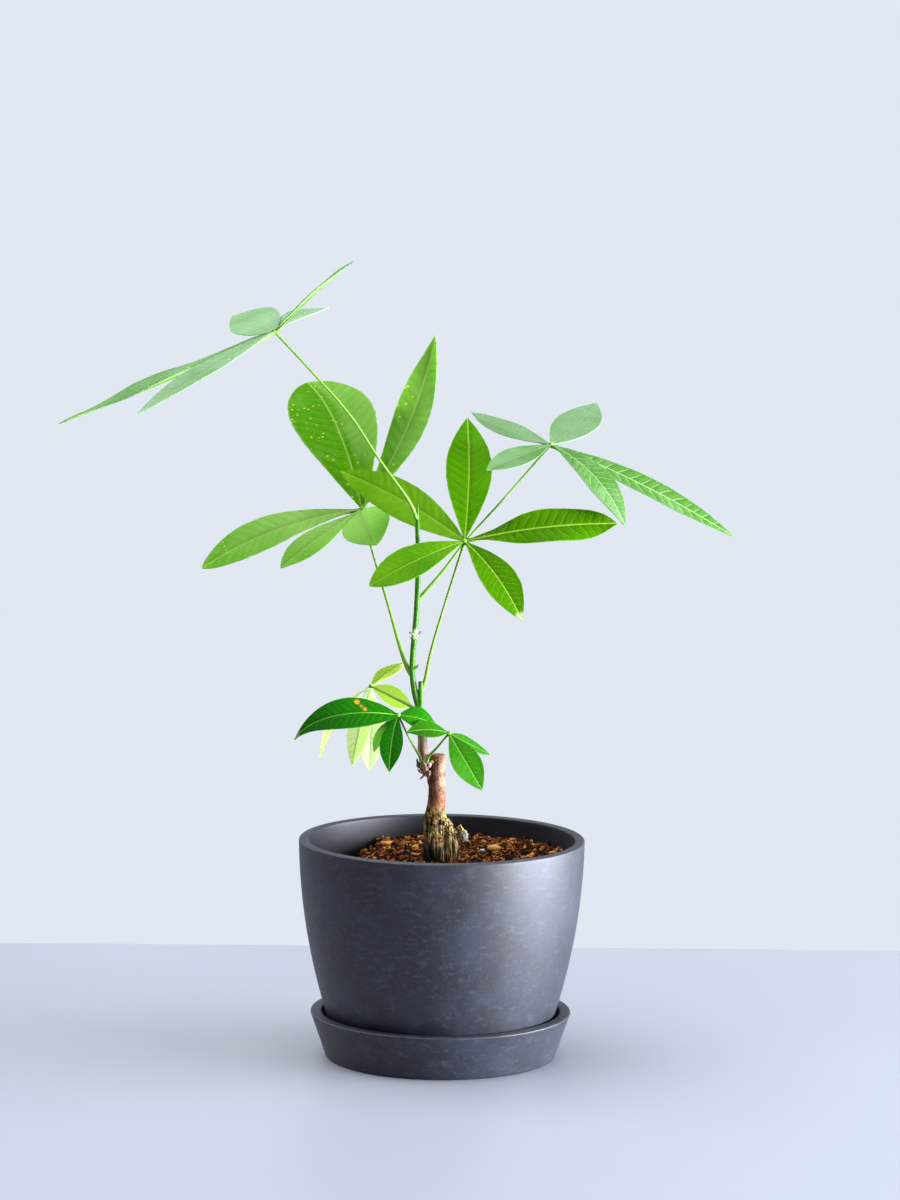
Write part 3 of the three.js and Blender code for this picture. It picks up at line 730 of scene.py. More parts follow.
# Marks on the trunk: place and reach in mm, colour and strength. The first two are the pale papery flake
# at the twig's end and the light bark round it, the others painted shade on the left of the upper bark and
# painted light on its middle
TRUNK_MARKS = (
    ((11.6, -1.6, 116.4), 4.4, "#7C7E78", 0.85),
    ((10.6, -1.4, 122.4), 3.0, "#B3A65E", 0.8),
    ((-4.8, -4.2, 140), 4.4, "#5A3122", 0.55),
    ((-4.8, -4.2, 147), 4.2, "#5A3122", 0.55),
    ((-4.6, -4.2, 154), 4.2, "#5A3122", 0.5),
    ((0.6, -3.6, 146), 4.0, "#C8A68E", 0.35),
    ((0.6, -3.6, 153), 4.0, "#C8A68E", 0.35),
)
SAWN_TOP = 160
# How far the borders between kinds of bark wander, in mm
BARK_WANDER = 12


def rough_at(point, across, along):
    """A smooth random height from -1 to 1 whose features are this many mm across and along a stem."""
    x, y, z = point
    return noise.noise(Vector((x / across, y / across, z / along)))


def bark_relief(point):
    """Height of the bark in mm: deep upright ribs and flakes low down, fine fibres on the thin upper bark."""
    x, y, z = point
    flaky = smoothstep(98, 105, z) * (1 - smoothstep(124, 137, z))
    stranded = 1 - smoothstep(111, 119, z)
    strand = 1 - 2 * abs(rough_at(point, 1.6, 16))
    wander = 0.9 * rough_at(point, 1.7, 2)
    cells = noise.voronoi(Vector((x / 2.6 + wander, y / 2.6, z / 3.4 - wander)))[0]
    crack = 1 - smoothstep(0.0, 0.28, cells[1] - cells[0])
    root = 0.65 * (strand - 0.45) + 0.35 * rough_at(point, 0.8, 7)
    flakes = 0.4 * (strand - 0.5) - 0.32 * crack + 0.42 * rough_at(point, 0.9, 1.1)
    rough = stranded * root + (1 - stranded) * flakes
    calm = 0.14 * rough_at(point, 0.8, 5.5) + 0.12 * rough_at(point, 0.75, 0.9) + 0.25 * rough_at(point, 5, 7)
    top = 1 - smoothstep(SAWN_TOP - 1.2, SAWN_TOP - 0.3, z)
    return (flaky * rough + (1 - flaky) * calm) * top


def trunk_shape():
    """The sawn trunk with its lobe and the broken twig, grown into one skin and then carved."""
    bm = bmesh.new()
    levels_column(bm, TRUNK_LEVELS, 40, 1.0)
    levels_column(bm, LOBE_LEVELS, 32, 1.0)
    stalk(bm, TWIG_ROUTE, TWIG_RADII, 16, 0.5)
    for place in TRUNK_KNOBS:
        knob(bm, *place)
    bm = grown_together(bm, TRUNK_VOXEL)
    bmesh.ops.smooth_vert(bm, verts=bm.verts, factor=0.5, use_axis_x=True, use_axis_y=True, use_axis_z=True)
    carve(bm, bark_relief, "bark_height")
    return bm


def bark_material(wood):
    """Bark of a young trunk, dry and matt: thin and pinkish under the saw cut, and flaking lower down.

    The flakes have a yellow-green film. At the ground the bark is ribbed, near black on the main stem with
    painted shade and tan on the side lobe with painted light. Painted shade darkens the cracks and hollows,
    painted light pales the ridges, and painted shade and light make the upper bark darker at its left and
    paler at its middle.
    """
    material, tree, place = new_material("young_trunk_bark")
    wander = node(tree, "ShaderNodeTexNoise", {"Vector": place, "Scale": per_mm(7), "Detail": 3.0})
    pushed = node(tree, "ShaderNodeVectorMath",
                  {0: wander.outputs["Color"], 1: [BARK_WANDER * MM] * 3, 2: place},
                  {"operation": "MULTIPLY_ADD"})
    uneven = node(tree, "ShaderNodeVectorMath", {0: pushed.outputs[0], 1: [BARK_WANDER / 2 * MM] * 3},
                  {"operation": "SUBTRACT"}).outputs[0]
    film = grain_share(tree, place, 2.6, 0.44, 0.6, detail=5.0, roughness=0.7)
    # At the ground the bark splits into upright strands, dark on the main stem with painted shade and tan on
    # the side lobe with painted light
    drawn_out = node(tree, "ShaderNodeMapping", {"Vector": place, "Scale": (1.0, 1.0, 0.12)})
    strands = grain_share(tree, drawn_out.outputs[0], 0.8, 0.48, 0.64)
    shaded_stem_root = node(tree, "ShaderNodeMix",
                     {FACTOR: strands, FIRST: opaque(wood.base), SECOND: shade("#241A10")}, COLOUR_MIX)
    lit_lobe_root = node(tree, "ShaderNodeMix",
                     {FACTOR: strands, FIRST: shade("#46361F"), SECOND: shade("#C8B074")}, COLOUR_MIX)
    # Single flakes differ: some have lost the film and are red-brown, others are bare and tan
    cells = node(tree, "ShaderNodeTexVoronoi", {"Vector": uneven, "Scale": per_mm(2.3)})
    kinds = node(tree, "ShaderNodeSeparateXYZ", {0: cells.outputs["Color"]})
    red = node(tree, "ShaderNodeMapRange", {"Value": kinds.outputs["X"], LOW: 0.62, HIGH: 0.72, MOST: 0.75},
               SMOOTH_STEP)
    tan = node(tree, "ShaderNodeMapRange", {"Value": kinds.outputs["Y"], LOW: 0.66, HIGH: 0.76, MOST: 0.75},
               SMOOTH_STEP)
    flaky = layered(tree, shade("#432D1A"), (
        (film, opaque(wood.flaky)),
        (red.outputs[0], shade("#8A5238")),
        (tan.outputs[0], shade("#AE9C6A")),
    ))
    upper = node(tree, "ShaderNodeMix",
                 {FACTOR: grain_share(tree, place, 0.8, 0.44, 0.56, detail=2.0), FIRST: opaque(wood.fresh),
                  SECOND: shade("#94785A")}, COLOUR_MIX)
    relief = node(tree, "ShaderNodeAttribute", settings={"attribute_name": "bark_height"}).outputs["Fac"]
    # Painted shade in the cracks and hollows of the relief, and painted light on its ridges
    painted_crack_shade = node(tree, "ShaderNodeMapRange", {"Value": relief, LOW: 0.1, HIGH: -0.45, MOST: 0.95},
                    SMOOTH_STEP)
    painted_ridge_light = node(tree, "ShaderNodeMapRange", {"Value": relief, LOW: 0.15, HIGH: 0.5, MOST: 0.22},
                    SMOOTH_STEP)
    # A red-brown ring where the thin bark begins
    ring = node(tree, "ShaderNodeMath",
                {0: axis_share(tree, uneven, 132, 135.5), 1: axis_share(tree, uneven, 137.5, 141)},
                {"operation": "SUBTRACT"})
    ring_share = node(tree, "ShaderNodeMath", {0: ring.outputs[0], 1: 0.6}, TIMES)
    end_grain = node(tree, "ShaderNodeMix",
                     {FACTOR: film, FIRST: shade("#6E4A2E"), SECOND: shade("#A5794E")}, COLOUR_MIX)
    colour = layered(tree, shaded_stem_root.outputs[MIXED], (
        (axis_share(tree, uneven, 0.0, 2.5, "X"), lit_lobe_root.outputs[MIXED]),
        (axis_share(tree, uneven, 110, 118), flaky),
        (axis_share(tree, uneven, 130, 137), upper.outputs[MIXED]),
        (painted_crack_shade.outputs[0], shade("#1C120B")),
        (painted_ridge_light.outputs[0], shade("#C4AC78")),
        (ring_share.outputs[0], shade("#7E452C")),
        (axis_share(tree, place, SAWN_TOP - 0.9, SAWN_TOP - 0.4), end_grain.outputs[MIXED]),
    ))
    fibre_place = node(tree, "ShaderNodeMapping", {"Vector": place, "Scale": (1.0, 1.0, 0.22)})
    fibre = node(tree, "ShaderNodeTexNoise", {"Vector": fibre_place.outputs[0], "Scale": per_mm(0.6),
                                              "Detail": 4.0, "Roughness": 0.6})
    rough = node(tree, "ShaderNodeBump",
                 {"Height": fibre.outputs["Fac"], "Strength": 0.5, "Distance": 0.25 * MM})
    shader = node(tree, "ShaderNodeBsdfPrincipled",
                  {"Base Color": marked(tree, place, colour, TRUNK_MARKS), "Roughness": 0.8,
                   "Normal": rough.outputs[0], "Specular IOR Level": 0.15})
    node(tree, "ShaderNodeOutputMaterial", {"Surface": shader.outputs[0]})
    return material


# The shoot's route and its radii at even steps, and the shorter growths on it
SHOOT_ROUTE = (
    (-7.6, -0.4, 150),
    (-9.4, -0.4, 155),
    (-10.2, 0, 162),
    (-10.9, 0, 171),
    (-12.2, 0, 183),
    (-15, 0, 194),
    (-16.2, 0, 204),
    (-15.4, 0, 220),
    (-14.5, 0, 231),
    (-13.9, 0, 243),
    (-13.6, 0, 262),
    (-14, 0, 280),
    (-14.1, 0, 293),
)
SHOOT_RADII = (2.2, 2.6, 2.2, 1.8, 1.5, 1.5, 1.5, 1.45, 1.35, 1.25, 1.3, 0.25)
SIDE_SHOOT_ROUTE = ((-12.2, -0.4, 181), (-11.7, -0.8, 187), (-11.7, -0.8, 193), (-11.8, -0.8, 198.6))
SIDE_SHOOT_RADII = (1.3, 1.35, 1.25)
BUD_ROUTE = ((-8.6, -2.4, 151), (-9.6, -3.8, 154.2), (-9.9, -4.6, 157))
BUD_RADII = (2, 2, 1.5)
SCALE_ROUTES = (
    ((-13.6, -0.6, 222.6), (-16.2, -1, 223.4), (-18, -1.2, 224.6)),
    ((-15.6, -0.4, 222.4), (-13, -0.6, 223.2), (-11.8, -0.6, 225.2)),
    ((-16, -0.6, 205.2), (-13.8, -0.8, 206.2), (-13, -0.8, 207.6)),
    ((-9.8, -3.2, 151), (-11.6, -4.6, 151.4), (-13.2, -5, 153.4)),
    ((-9, -3.8, 150.4), (-10.4, -5.2, 148.8), (-11.8, -5.4, 147.6)),
    ((-6.8, -4, 151.8), (-7.2, -5.4, 149.6), (-7.8, -5.6, 147.4)),
    ((-11.4, -2.4, 154.4), (-13, -3.4, 156.2), (-13.4, -3.6, 158.2)),
)
SCALE_RADII = (0.9, 0.65, 0.3)
SHOOT_KNOBS = (
    (-15.4, 0, 221.4, 1.9, 0.7),
    (-12, -2.6, 154.6, 1.7, 1.0),
    (-7.2, -4, 154.8, 1.5, 1.0),
    (-10.6, -2.4, 151.6, 1.6, 1.0),
    (-12.2, -1, 183.6, 2.2, 0.8),
    (-5.2, -3.2, 156.4, 1.3, 0.8),
    (-8.9, -3.6, 153.2, 1.2, 1.2),
)
SHOOT_VOXEL = 0.24


def shoot_relief(point):
    """Fine lengthwise creases on the shoot, in mm, deeper on the brown foot."""
    old = 1 - smoothstep(158, 172, point.z)
    crease = rough_at(point, 0.7, 5)
    lump = rough_at(point, 1.5, 2.4)
    return (0.06 + 0.16 * old) * crease + 0.22 * old * lump + 0.05 * lump


def shoot_shape():
    """The green shoot with its side shoot, bud, scales and swellings, grown into one skin."""
    bm = bmesh.new()
    stalk(bm, SHOOT_ROUTE, SHOOT_RADII, 24, 1.0)
    stalk(bm, SIDE_SHOOT_ROUTE, SIDE_SHOOT_RADII, 16, 0.8)
    stalk(bm, BUD_ROUTE, BUD_RADII, 16, 0.5)
    for route in SCALE_ROUTES:
        stalk(bm, route, SCALE_RADII, 12, 0.4)
    for place in SHOOT_KNOBS:
        knob(bm, *place)
    bm = grown_together(bm, SHOOT_VOXEL)
    bmesh.ops.smooth_vert(bm, verts=bm.verts, factor=0.5, use_axis_x=True, use_axis_y=True, use_axis_z=True)
    carve(bm, shoot_relief, "bark_height")
    return bm


# Marks on the shoot: place and reach in mm, colour and strength
SHOOT_MARKS = (
    ((-15.2, -1.0, 223.6), 3.4, "#C6D6A4", 0.75),
    ((-17.8, -1.2, 224.6), 1.6, "#3C4A2A", 0.9),
    ((-11.9, -0.7, 225.0), 1.5, "#6B3A2E", 0.9),
    ((-13.0, -0.8, 207.4), 1.6, "#5A4A30", 0.8),
    ((-12.6, -1.4, 183.6), 2.6, "#8C4A3A", 0.65),
    ((-11.8, -0.8, 198.8), 2.2, "#3F4A2C", 0.9),
    ((-12.2, -3.6, 155.0), 2.2, "#B7CF8E", 0.85),
    ((-10.2, -4.8, 157.4), 2.0, "#B3C860", 0.85),
    ((-11.8, -4.8, 150.2), 3.2, "#4A211A", 0.85),
    ((-13.4, -4.2, 155.4), 2.8, "#3A1A14", 0.8),
    ((-7.6, -5.4, 148.4), 2.2, "#5A2C20", 0.8),
    ((-6.4, -4.6, 155.0), 2.4, "#C79A8C", 0.8),
    ((-5.0, -3.6, 157.0), 1.6, "#C9B45C", 0.8),
)


def shoot_material(wood):
    """Bark of a first-year shoot: green, smooth and faintly waxy, pinkish brown and creased at its foot."""
    material, tree, place = new_material("green_shoot_bark")
    drawn_out = node(tree, "ShaderNodeMapping", {"Vector": place, "Scale": (1.0, 1.0, 0.14)})
    streaks = node(tree, "ShaderNodeTexNoise", {"Vector": drawn_out.outputs[0], "Scale": per_mm(1.1),
                                                "Detail": 4.0, "Roughness": 0.6}).outputs["Fac"]
    green = node(tree, "ShaderNodeMix",
                 {FACTOR: streaks, FIRST: shade("#20500C"), SECOND: opaque(wood.shoot)}, COLOUR_MIX)
    brown = node(tree, "ShaderNodeMix",
                 {FACTOR: streaks, FIRST: shade("#6F5245"), SECOND: opaque(wood.shoot_foot)}, COLOUR_MIX)
    colour = layered(tree, brown.outputs[MIXED], (
        (axis_share(tree, place, 161, 181), green.outputs[MIXED]),
        (dot_share(tree, place, 2.2, 0.14, 0.06, 0.2), shade("#B9C79A")),
    ))
    rough = node(tree, "ShaderNodeBump", {"Height": streaks, "Strength": 0.35, "Distance": 0.15 * MM})
    shader = node(tree, "ShaderNodeBsdfPrincipled",
                  {"Base Color": marked(tree, place, colour, SHOOT_MARKS), "Roughness": 0.42,
                   "Normal": rough.outputs[0], "Specular IOR Level": 0.2})
    node(tree, "ShaderNodeOutputMaterial", {"Surface": shader.outputs[0]})
    return material


def leaflet(tip, face, width, bow=0.0, hook=0.0, sweep=0.0, fold=4.0, wave=0.0, waves=2.0, fullest=0.55,
            taper=0.9, tone=0.3, side=0.1, far=0.0):
    """One leaflet: its tip, the way its upper side faces, its width, and how it bends, in mm.

    A tone of 1 is pale and 0 full green, and one below 0 dims the leaflet by that share as painted shade; the
    paler tones are partly painted sheen, reflection and light shining through. side is added to the tone on
    one half of the blade as painted sheen, and far towards its tip.
    """
    return {"tip": Vector(tip), "face": Vector(face), "width": width, "bow": bow, "hook": hook,
            "sweep": sweep, "fold": fold, "wave": wave, "waves": waves, "fullest": fullest, "taper": taper,
            "tone": tone, "side": side, "far": far}


# Each leaf: colour set, material slot, the stalk's route up to its hub, its radii, and its leaflets
# The leaflets' tones paint light and shade: those below 0 are painted shade, and the pale tones of the top
# leaves, of the middle left leaf's lower leaflets and of the hanging leaflets behind are partly painted
# sheen, reflection and light shining through
LEAVES = {
    "leaf_top_left": {
        "colours": "pale",
        "slot": "old_leaf",
        "route": ((-14.4, -0.6, 284), (-18, -3.4, 292.5), (-33.8, -8, 315.2), (-49, -12, 338.3),
                  (-66, -15, 358), (-88.3, -18, 382.2)),
        "radii": (1.1, 0.72, 0.65, 0.61, 0.58, 0.65),
        "leaflets": (
            leaflet((-198, -30, 334.5), (-0.3, -0.1, 0.9), 25, bow=-1, fold=10, wave=0.8, tone=0.1),
            leaflet((-154.2, -72, 344), (-0.15, -0.2, 0.9), 18, bow=0.5, fold=9, tone=0.48),
            leaflet((-112, 34, 386.5), (-0.3, -0.5, 0.8), 25, bow=1.5, fullest=0.42, tone=0.55),
            leaflet((-47.5, -30, 419), (-0.7, 0, 0.7), 14, bow=1, fold=10, tone=0.2),
            leaflet((-61.5, 22, 391.5), (-0.3, -0.4, 0.8), 18, bow=3, tone=0.6),
        ),
    },
    "leaf_top_right": {
        "colours": "pale",
        "slot": "old_leaf",
        "route": ((-13.9, 0, 240.5), (-10, 2.6, 245), (-0.6, 6, 256), (11.3, 10, 271.4), (33.1, 18, 295.4),
                  (55.5, 25, 321.2)),
        "radii": (1.27, 0.79, 0.65, 0.61, 0.58, 0.65),
        "leaflets": (
            leaflet((14, 62, 334.5), (0.2, -0.5, 0.8), 15.5, bow=-1.5, tone=0.33),
            leaflet((21.5, -8, 310.5), (0, -0.5, 0.8), 16, bow=0.5, tone=0.14),
            leaflet((80.5, 75, 339), (-0.1, -0.6, 0.8), 24, bow=-1, sweep=1, fullest=0.52, tone=0.36),
            leaflet((94, -5, 281.5), (0.5, -0.7, 0.5), 18, bow=4.5, sweep=-3.5, tone=0.04),
            leaflet((153, 30, 272.5), (0.4, -0.4, 0.8), 20, bow=3, tone=-0.1),
        ),
    },
    "leaf_middle_right": {
        "colours": "lush",
        "slot": "leaf",
        "route": ((-11.6, -0.6, 193.5), (-9.6, -0.2, 198.5), (-7.6, -1, 209.4), (-4.6, -2, 221.7),
                  (5.7, -5, 257.3), (10.5, -6, 273.2)),
        "radii": (1.19, 0.83, 0.72, 0.65, 0.61, 0.65),
        "leaflets": (
            leaflet((11.5, 32, 334), (0, -0.8, 0.6), 24, bow=3, sweep=1.5, fold=6, tone=-0.1),
            leaflet((-55, 25, 306), (-0.1, -0.95, 0.3), 20, sweep=2.5, fold=6, fullest=0.53, taper=0.78,
                    tone=0.5),
            leaflet((-38.5, -22, 251.4), (-0.2, -0.8, 0.6), 20, bow=3, fold=6, fullest=0.6, taper=0.75,
                    tone=0.1),
            leaflet((90, 8, 281.5), (0, -0.8, 0.6), 21, bow=4, sweep=-0.5, fold=6, wave=1.6, fullest=0.62,
                    taper=0.8, tone=-0.3),
            leaflet((40.5, -26, 234.5), (0.3, -0.8, 0.5), 20, bow=3, sweep=-1.5, fold=6, tone=-0.34),
        ),
    },
    "leaf_middle_left": {
        "colours": "spotted",
        "slot": "leaf",
        "route": ((-16, 0, 201), (-19, 1.6, 206), (-23.2, 8, 217), (-28, 18, 232), (-39.4, 38, 267),
                  (-43.9, 46, 283.9)),
        "radii": (1.44, 1.01, 0.72, 0.65, 0.61, 0.65),
        "leaflets": (
            leaflet((-75, 108, 346), (0.1, -0.85, 0.5), 45, bow=13, sweep=2, fullest=0.6, taper=0.65,
                    tone=0.0, side=0.5),
            leaflet((-6, 66, 375), (-0.1, -0.9, 0.45), 18, bow=4, sweep=6.5, wave=2.4, waves=1.3, fold=6,
                    tone=0.3),
            leaflet((-35.2, 8, 269.3), (-0.4, -0.4, 0.85), 27, bow=2, sweep=1, fullest=0.52, taper=0.75,
                    tone=0.9, far=-0.5),
            leaflet((-85.5, 14, 256), (-0.3, -0.5, 0.8), 20, bow=1.5, fullest=0.65, taper=0.8, tone=0.8,
                    far=-0.5),
            leaflet((-128.5, 40, 252.5), (-0.3, -0.6, 0.75), 26, bow=5, sweep=2.5, fullest=0.65, taper=0.72,
                    tone=0.75, far=-0.45),
        ),
    },
    "leaf_low_left": {
        "colours": "dark",
        "slot": "dark_leaf",
        "route": ((-10.9, -4.2, 156.2), (-11.9, -5.2, 159.5), (-15.5, -9, 166.5), (-19.4, -12, 174.5),
                  (-23.3, -14, 182.8)),
        "radii": (0.85, 0.65, 0.58, 0.54, 0.58),
        "leaflets": (
            leaflet((-77, -18, 170), (-0.2, -0.75, 0.65), 19, bow=8, hook=9, fullest=0.43, tone=-0.28),
            leaflet((-27.5, -32, 156), (0, -0.85, 0.5), 12, bow=2, sweep=1, tone=-0.3),
            leaflet((-3.4, -8, 176.6), (0.1, -0.75, 0.65), 13, bow=2.4, fullest=0.5, tone=0.0),
            leaflet((-36, 2, 161), (-0.3, 0.4, 0.8), 9, bow=2, tone=0.3),
        ),
    },
    "leaf_low_right": {
        "colours": "fresh",
        "slot": "dark_leaf",
        "route": ((-8.5, -4.9, 156.6), (-7.2, -6, 159.8), (-2.9, -8, 164.8), (3.3, -10, 172.9)),
        "radii": (0.85, 0.68, 0.58, 0.58),
        "leaflets": (
            leaflet((20.7, -22, 145), (0.3, -0.8, 0.5), 16.5, bow=3, sweep=1.5, tone=-0.06),
            leaflet((24.7, 12, 158.5), (0.3, -0.4, 0.8), 12, tone=-0.1),
            leaflet((-18.5, -22, 175.2), (0, -0.7, 0.7), 11, bow=2.5, tone=-0.22),
        ),
    },
    "leaf_low_back": {
        "colours": "young",
        "slot": "young_leaf",
        "route": ((-12.4, 0, 182.5), (-15.7, 3.4, 184.2), (-26.4, 16, 187.7), (-38.3, 32, 191.1)),
        "radii": (1.1, 0.72, 0.54, 0.58),
        "leaflets": (
            leaflet((-21.7, 58, 200), (-0.2, -0.5, 0.85), 11, bow=1, tone=0.0),
            leaflet((-16.5, 44, 179), (0, -0.8, 0.6), 12.5, tone=-0.26),
            leaflet((-65.6, 38, 151), (-0.9, -0.35, 0.2), 9, bow=6, tone=1.0),
            leaflet((-48, 28, 149), (-0.2, -0.9, 0.1), 12, bow=4, tone=1.1),
            leaflet((-39, 36, 145), (0.1, -0.9, 0.1), 14, bow=4, tone=1.2),
        ),
    },
}

# The places of a leaf's materials in its list, after that of the upper side
UNDERSIDE = 1
STALK_SKIN = 2
STALK_HALF_WIDTH = 0.9
TIP_HALF_WIDTH = 0.35
HUB_RADIUS = 1.3
BLADE_STEP = 0.9
# The grid of a blade has at least this many rows and this many columns a side
LEAST_ROWS = 24
LEAST_COLUMNS = 6
# How far a margin frays, in parts of the half width
FRAY = 0.02
# Lateral veins: how many fit along a leaflet, the least and greatest spacing in mm, and how they run.
# The quilting between them is given in parts of their spacing
VEINS_PER_SIDE = 16
VEIN_SPACING = (3.0, 6.4)
VEIN_SLANT = 0.55
VEIN_CURVE = 0.06
VEIN_STAGGER = 0.42
VEIN_DRIFT = 0.55
QUILT_HEIGHT = {"lush": 0.026, "spotted": 0.024, "pale": 0.034, "dark": 0.03, "fresh": 0.03, "young": 0.04}
# The groove over the midrib: depth and half width in mm
RIB_GROOVE = 0.26
RIB_GROOVE_WIDTH = 1.1
# Where the two margins stand in their wave at the leaflet's base, in radians
WAVE_STARTS = (0.6, 2.4)


def leaflet_frame(shape, hub):
    """The leaflet's run from its hub to its tip, its upward and its sideways direction."""
    run = shape["tip"] - hub
    forward = run.normalized()
    up = (shape["face"] - forward * shape["face"].dot(forward)).normalized()
    return run, up, forward.cross(up)


def half_width(shape, a):
    """Half the leaflet's width at a share of its length."""
    power = math.log(0.5) / math.log(shape["fullest"])
    belly = math.sin(math.pi * min(a, 0.999) ** power) ** shape["taper"]
    base = STALK_HALF_WIDTH + (TIP_HALF_WIDTH - STALK_HALF_WIDTH) * a
    return max(base, shape["width"] / 2 * belly)


def midrib_point(shape, hub, a):
    """A point of the midrib at a share of the leaflet's length."""
    run, up, across = leaflet_frame(shape, hub)
    arch = 4 * a * (1 - a)
    rise = shape["bow"] * arch + shape["hook"] * (a - a ** 8)
    return hub + run * a + up * rise + across * shape["sweep"] * arch


def vein_phase(along, across, seed):
    """Counts the lateral veins: whole numbers lie on a vein. Both lengths are in vein spacings."""
    side = VEIN_STAGGER if across > 0 else 0
    drift = VEIN_DRIFT * noise.noise(Vector((along / 2.2, side * 3, seed)))
    return along - VEIN_SLANT * abs(across) - VEIN_CURVE * across * across + side + drift


def add_leaflet(bm, shape, hub, thickness, quilting, layers):
    """One leaflet: a grid bent to its form, quilted between its veins, given its thickness and its midrib."""
    run, up, side = leaflet_frame(shape, hub)
    length = run.length
    fold = math.tan(math.radians(shape["fold"]))
    spacing = min(max(length / VEINS_PER_SIDE, VEIN_SPACING[0]), VEIN_SPACING[1])
    rows = max(int(length / BLADE_STEP), LEAST_ROWS)
    columns = 2 * max(int(shape["width"] / BLADE_STEP / 2), LEAST_COLUMNS)
    grid = bmesh.ops.create_grid(bm, x_segments=rows, y_segments=columns, size=1)["verts"]
    seed = shape["tip"].x
    for vert in grid:
        a = (vert.co.x + 1) / 2
        out = -vert.co.y
        half = half_width(shape, a)
        frayed = 1 + FRAY * noise.noise(Vector((a * length / 3, out, seed)))
        across = half * out * frayed
        filled = min(1, half / 4)
        start = WAVE_STARTS[0 if out > 0 else 1]
        rise = half * abs(out) * fold
        rise += shape["wave"] * out * out * math.sin(shape["waves"] * math.tau * a + start) * filled
        rim = 1 - smoothstep(0.72, 1.0, abs(out))
        ends = smoothstep(0.0, 0.08, a) * (1 - smoothstep(0.93, 1.0, a))
        phase = vein_phase(a * length / spacing, across / spacing, seed)
        quilt = -math.cos(math.tau * phase)
        flesh = smoothstep(0.3, 2.2, abs(across))
        rise += quilting * spacing * quilt * rim * ends * flesh
        rise -= RIB_GROOVE * math.exp(-(across / RIB_GROOVE_WIDTH) ** 2) * ends * filled
        rise += 0.5 * ends * out * out * noise.noise(Vector((a * length / 16, out * 0.8, seed)))
        vert.co = midrib_point(shape, hub, a) + side * across + up * rise
        vert[layers["place"]] = (phase, across / spacing, 0)
        vert[layers["out"]] = abs(out)
        # Painted sheen pales one half of the blade; the tone and far carry painted light and shade as well
        sheen_half = smoothstep(0.0, 0.35, out) * smoothstep(0.1, 0.4, a)
        far_end = smoothstep(0.35, 0.85, a)
        vert[layers["tone"]] = shape["tone"] + shape["side"] * sheen_half + shape["far"] * far_end
    upper = touching(grid)
    bmesh.ops.recalc_face_normals(bm, faces=upper)
    if sum(face.normal.dot(up) for face in upper) < 0:
        bmesh.ops.reverse_faces(bm, faces=upper)
    shell = bmesh.ops.solidify(bm, geom=upper, thickness=thickness)["geom"]
    known = set(upper)
    for face in shell:
        if isinstance(face, bmesh.types.BMFace) and face not in known:
            face.material_index = UNDERSIDE
    add_midrib(bm, shape, hub)


# A midrib ends a little short of the leaflet's tip
RIB_END = 0.975


def add_midrib(bm, shape, hub):
    """The raised midrib under a leaflet, thinning out towards its tip."""
    up = leaflet_frame(shape, hub)[1]
    shares = spread(0, RIB_END, 41)
    width = min(0.95, 0.25 + shape["width"] / 30)
    radii = [width * (1 - 0.85 * a) for a in shares]
    points = [midrib_point(shape, hub, a) - up * (radius + RIB_GROOVE) for a, radius in zip(shares, radii)]
    for face in touching(tube(bm, points, radii, 8)):
        face.material_index = STALK_SKIN


def add_leaf(name, leaf, thickness, materials):
    """A whole leaf as one piece: its stalk, its hub and its leaflets."""
    bm = bmesh.new()
    layers = {
        "place": bm.verts.layers.float_vector.new("leaf_place"),
        "out": bm.verts.layers.float.new("leaf_out"),
        "tone": bm.verts.layers.float.new("leaf_tone"),
    }
    hub = Vector(leaf["route"][-1])
    for face in touching(stalk(bm, leaf["route"], leaf["radii"], 14, 1.2)):
        face.material_index = STALK_SKIN
    pad = Matrix.Translation(hub) @ Matrix.Diagonal((HUB_RADIUS, HUB_RADIUS, HUB_RADIUS, 1))
    for face in touching(bmesh.ops.create_icosphere(bm, subdivisions=3, radius=1, matrix=pad)["verts"]):
        face.material_index = STALK_SKIN
    for shape in leaf["leaflets"]:
        add_leaflet(bm, shape, hub, thickness, QUILT_HEIGHT[leaf["colours"]], layers)
    add_piece(f"{name}_blades", bm, name, materials, crease=math.radians(50))


# Each set: the property with its blade colour, then the colours of pale leaflets, of veins and midrib, of the
# underside and of the light that shines through, the share of that light, and the specular level
LEAF_COLOURS = {
    "lush": ("lush", "#90C42A", "#ACD446", "#8CC048", "#98D800", 0.34, 0.03),
    "spotted": ("lush", "#9EC468", "#B0CC68", "#8CC048", "#9CD800", 0.4, 0.03),
    # The top leaves' paler, greyer colours are partly painted sheen
    "pale": ("pale", "#A6C4A2", "#9CBC80", "#8EB266", "#9CCC60", 0.3, 0.2),
    "dark": ("dark", "#4A9610", "#62A234", "#559432", "#209400", 0.08, 0.02),
    "fresh": ("fresh", "#6CA048", "#70AA4C", "#6EA248", "#48A000", 0.14, 0.05),
    # The young leaf's near-white pale colour is painted light shining through its hanging leaflets
    "young": ("young", "#F8FFF0", "#C4DE90", "#C8E4A4", "#E8FA98", 0.62, 0.06),
}
# Pale specks where sap was lost: the set, their spacing in mm and their colour
LEAF_SPECKS = {"spotted": (3.6, "#E0D75C")}
# Marks on single leaflets: place and reach in mm, colour and strength
LEAF_MARKS = {
    "spotted": (
        ((-65.4, 51.4, 305), 2.6, "#B98A5A", 0.9),
    ),
    "lush": (
        ((40.2, -25.8, 235.6), 4.5, "#C9D6A0", 0.6),
    ),
    "dark": (
        ((-44.6, -19, 190.2), 1.9, "#C9822E", 0.85),
        ((-40.4, -20.7, 186.8), 1.5, "#B8742A", 0.75),
        ((-42.4, -20, 188.2), 1.2, "#A8662A", 0.7),
        ((-76.4, -19, 172.2), 4.5, "#7F8F6A", 0.6),
    ),
}


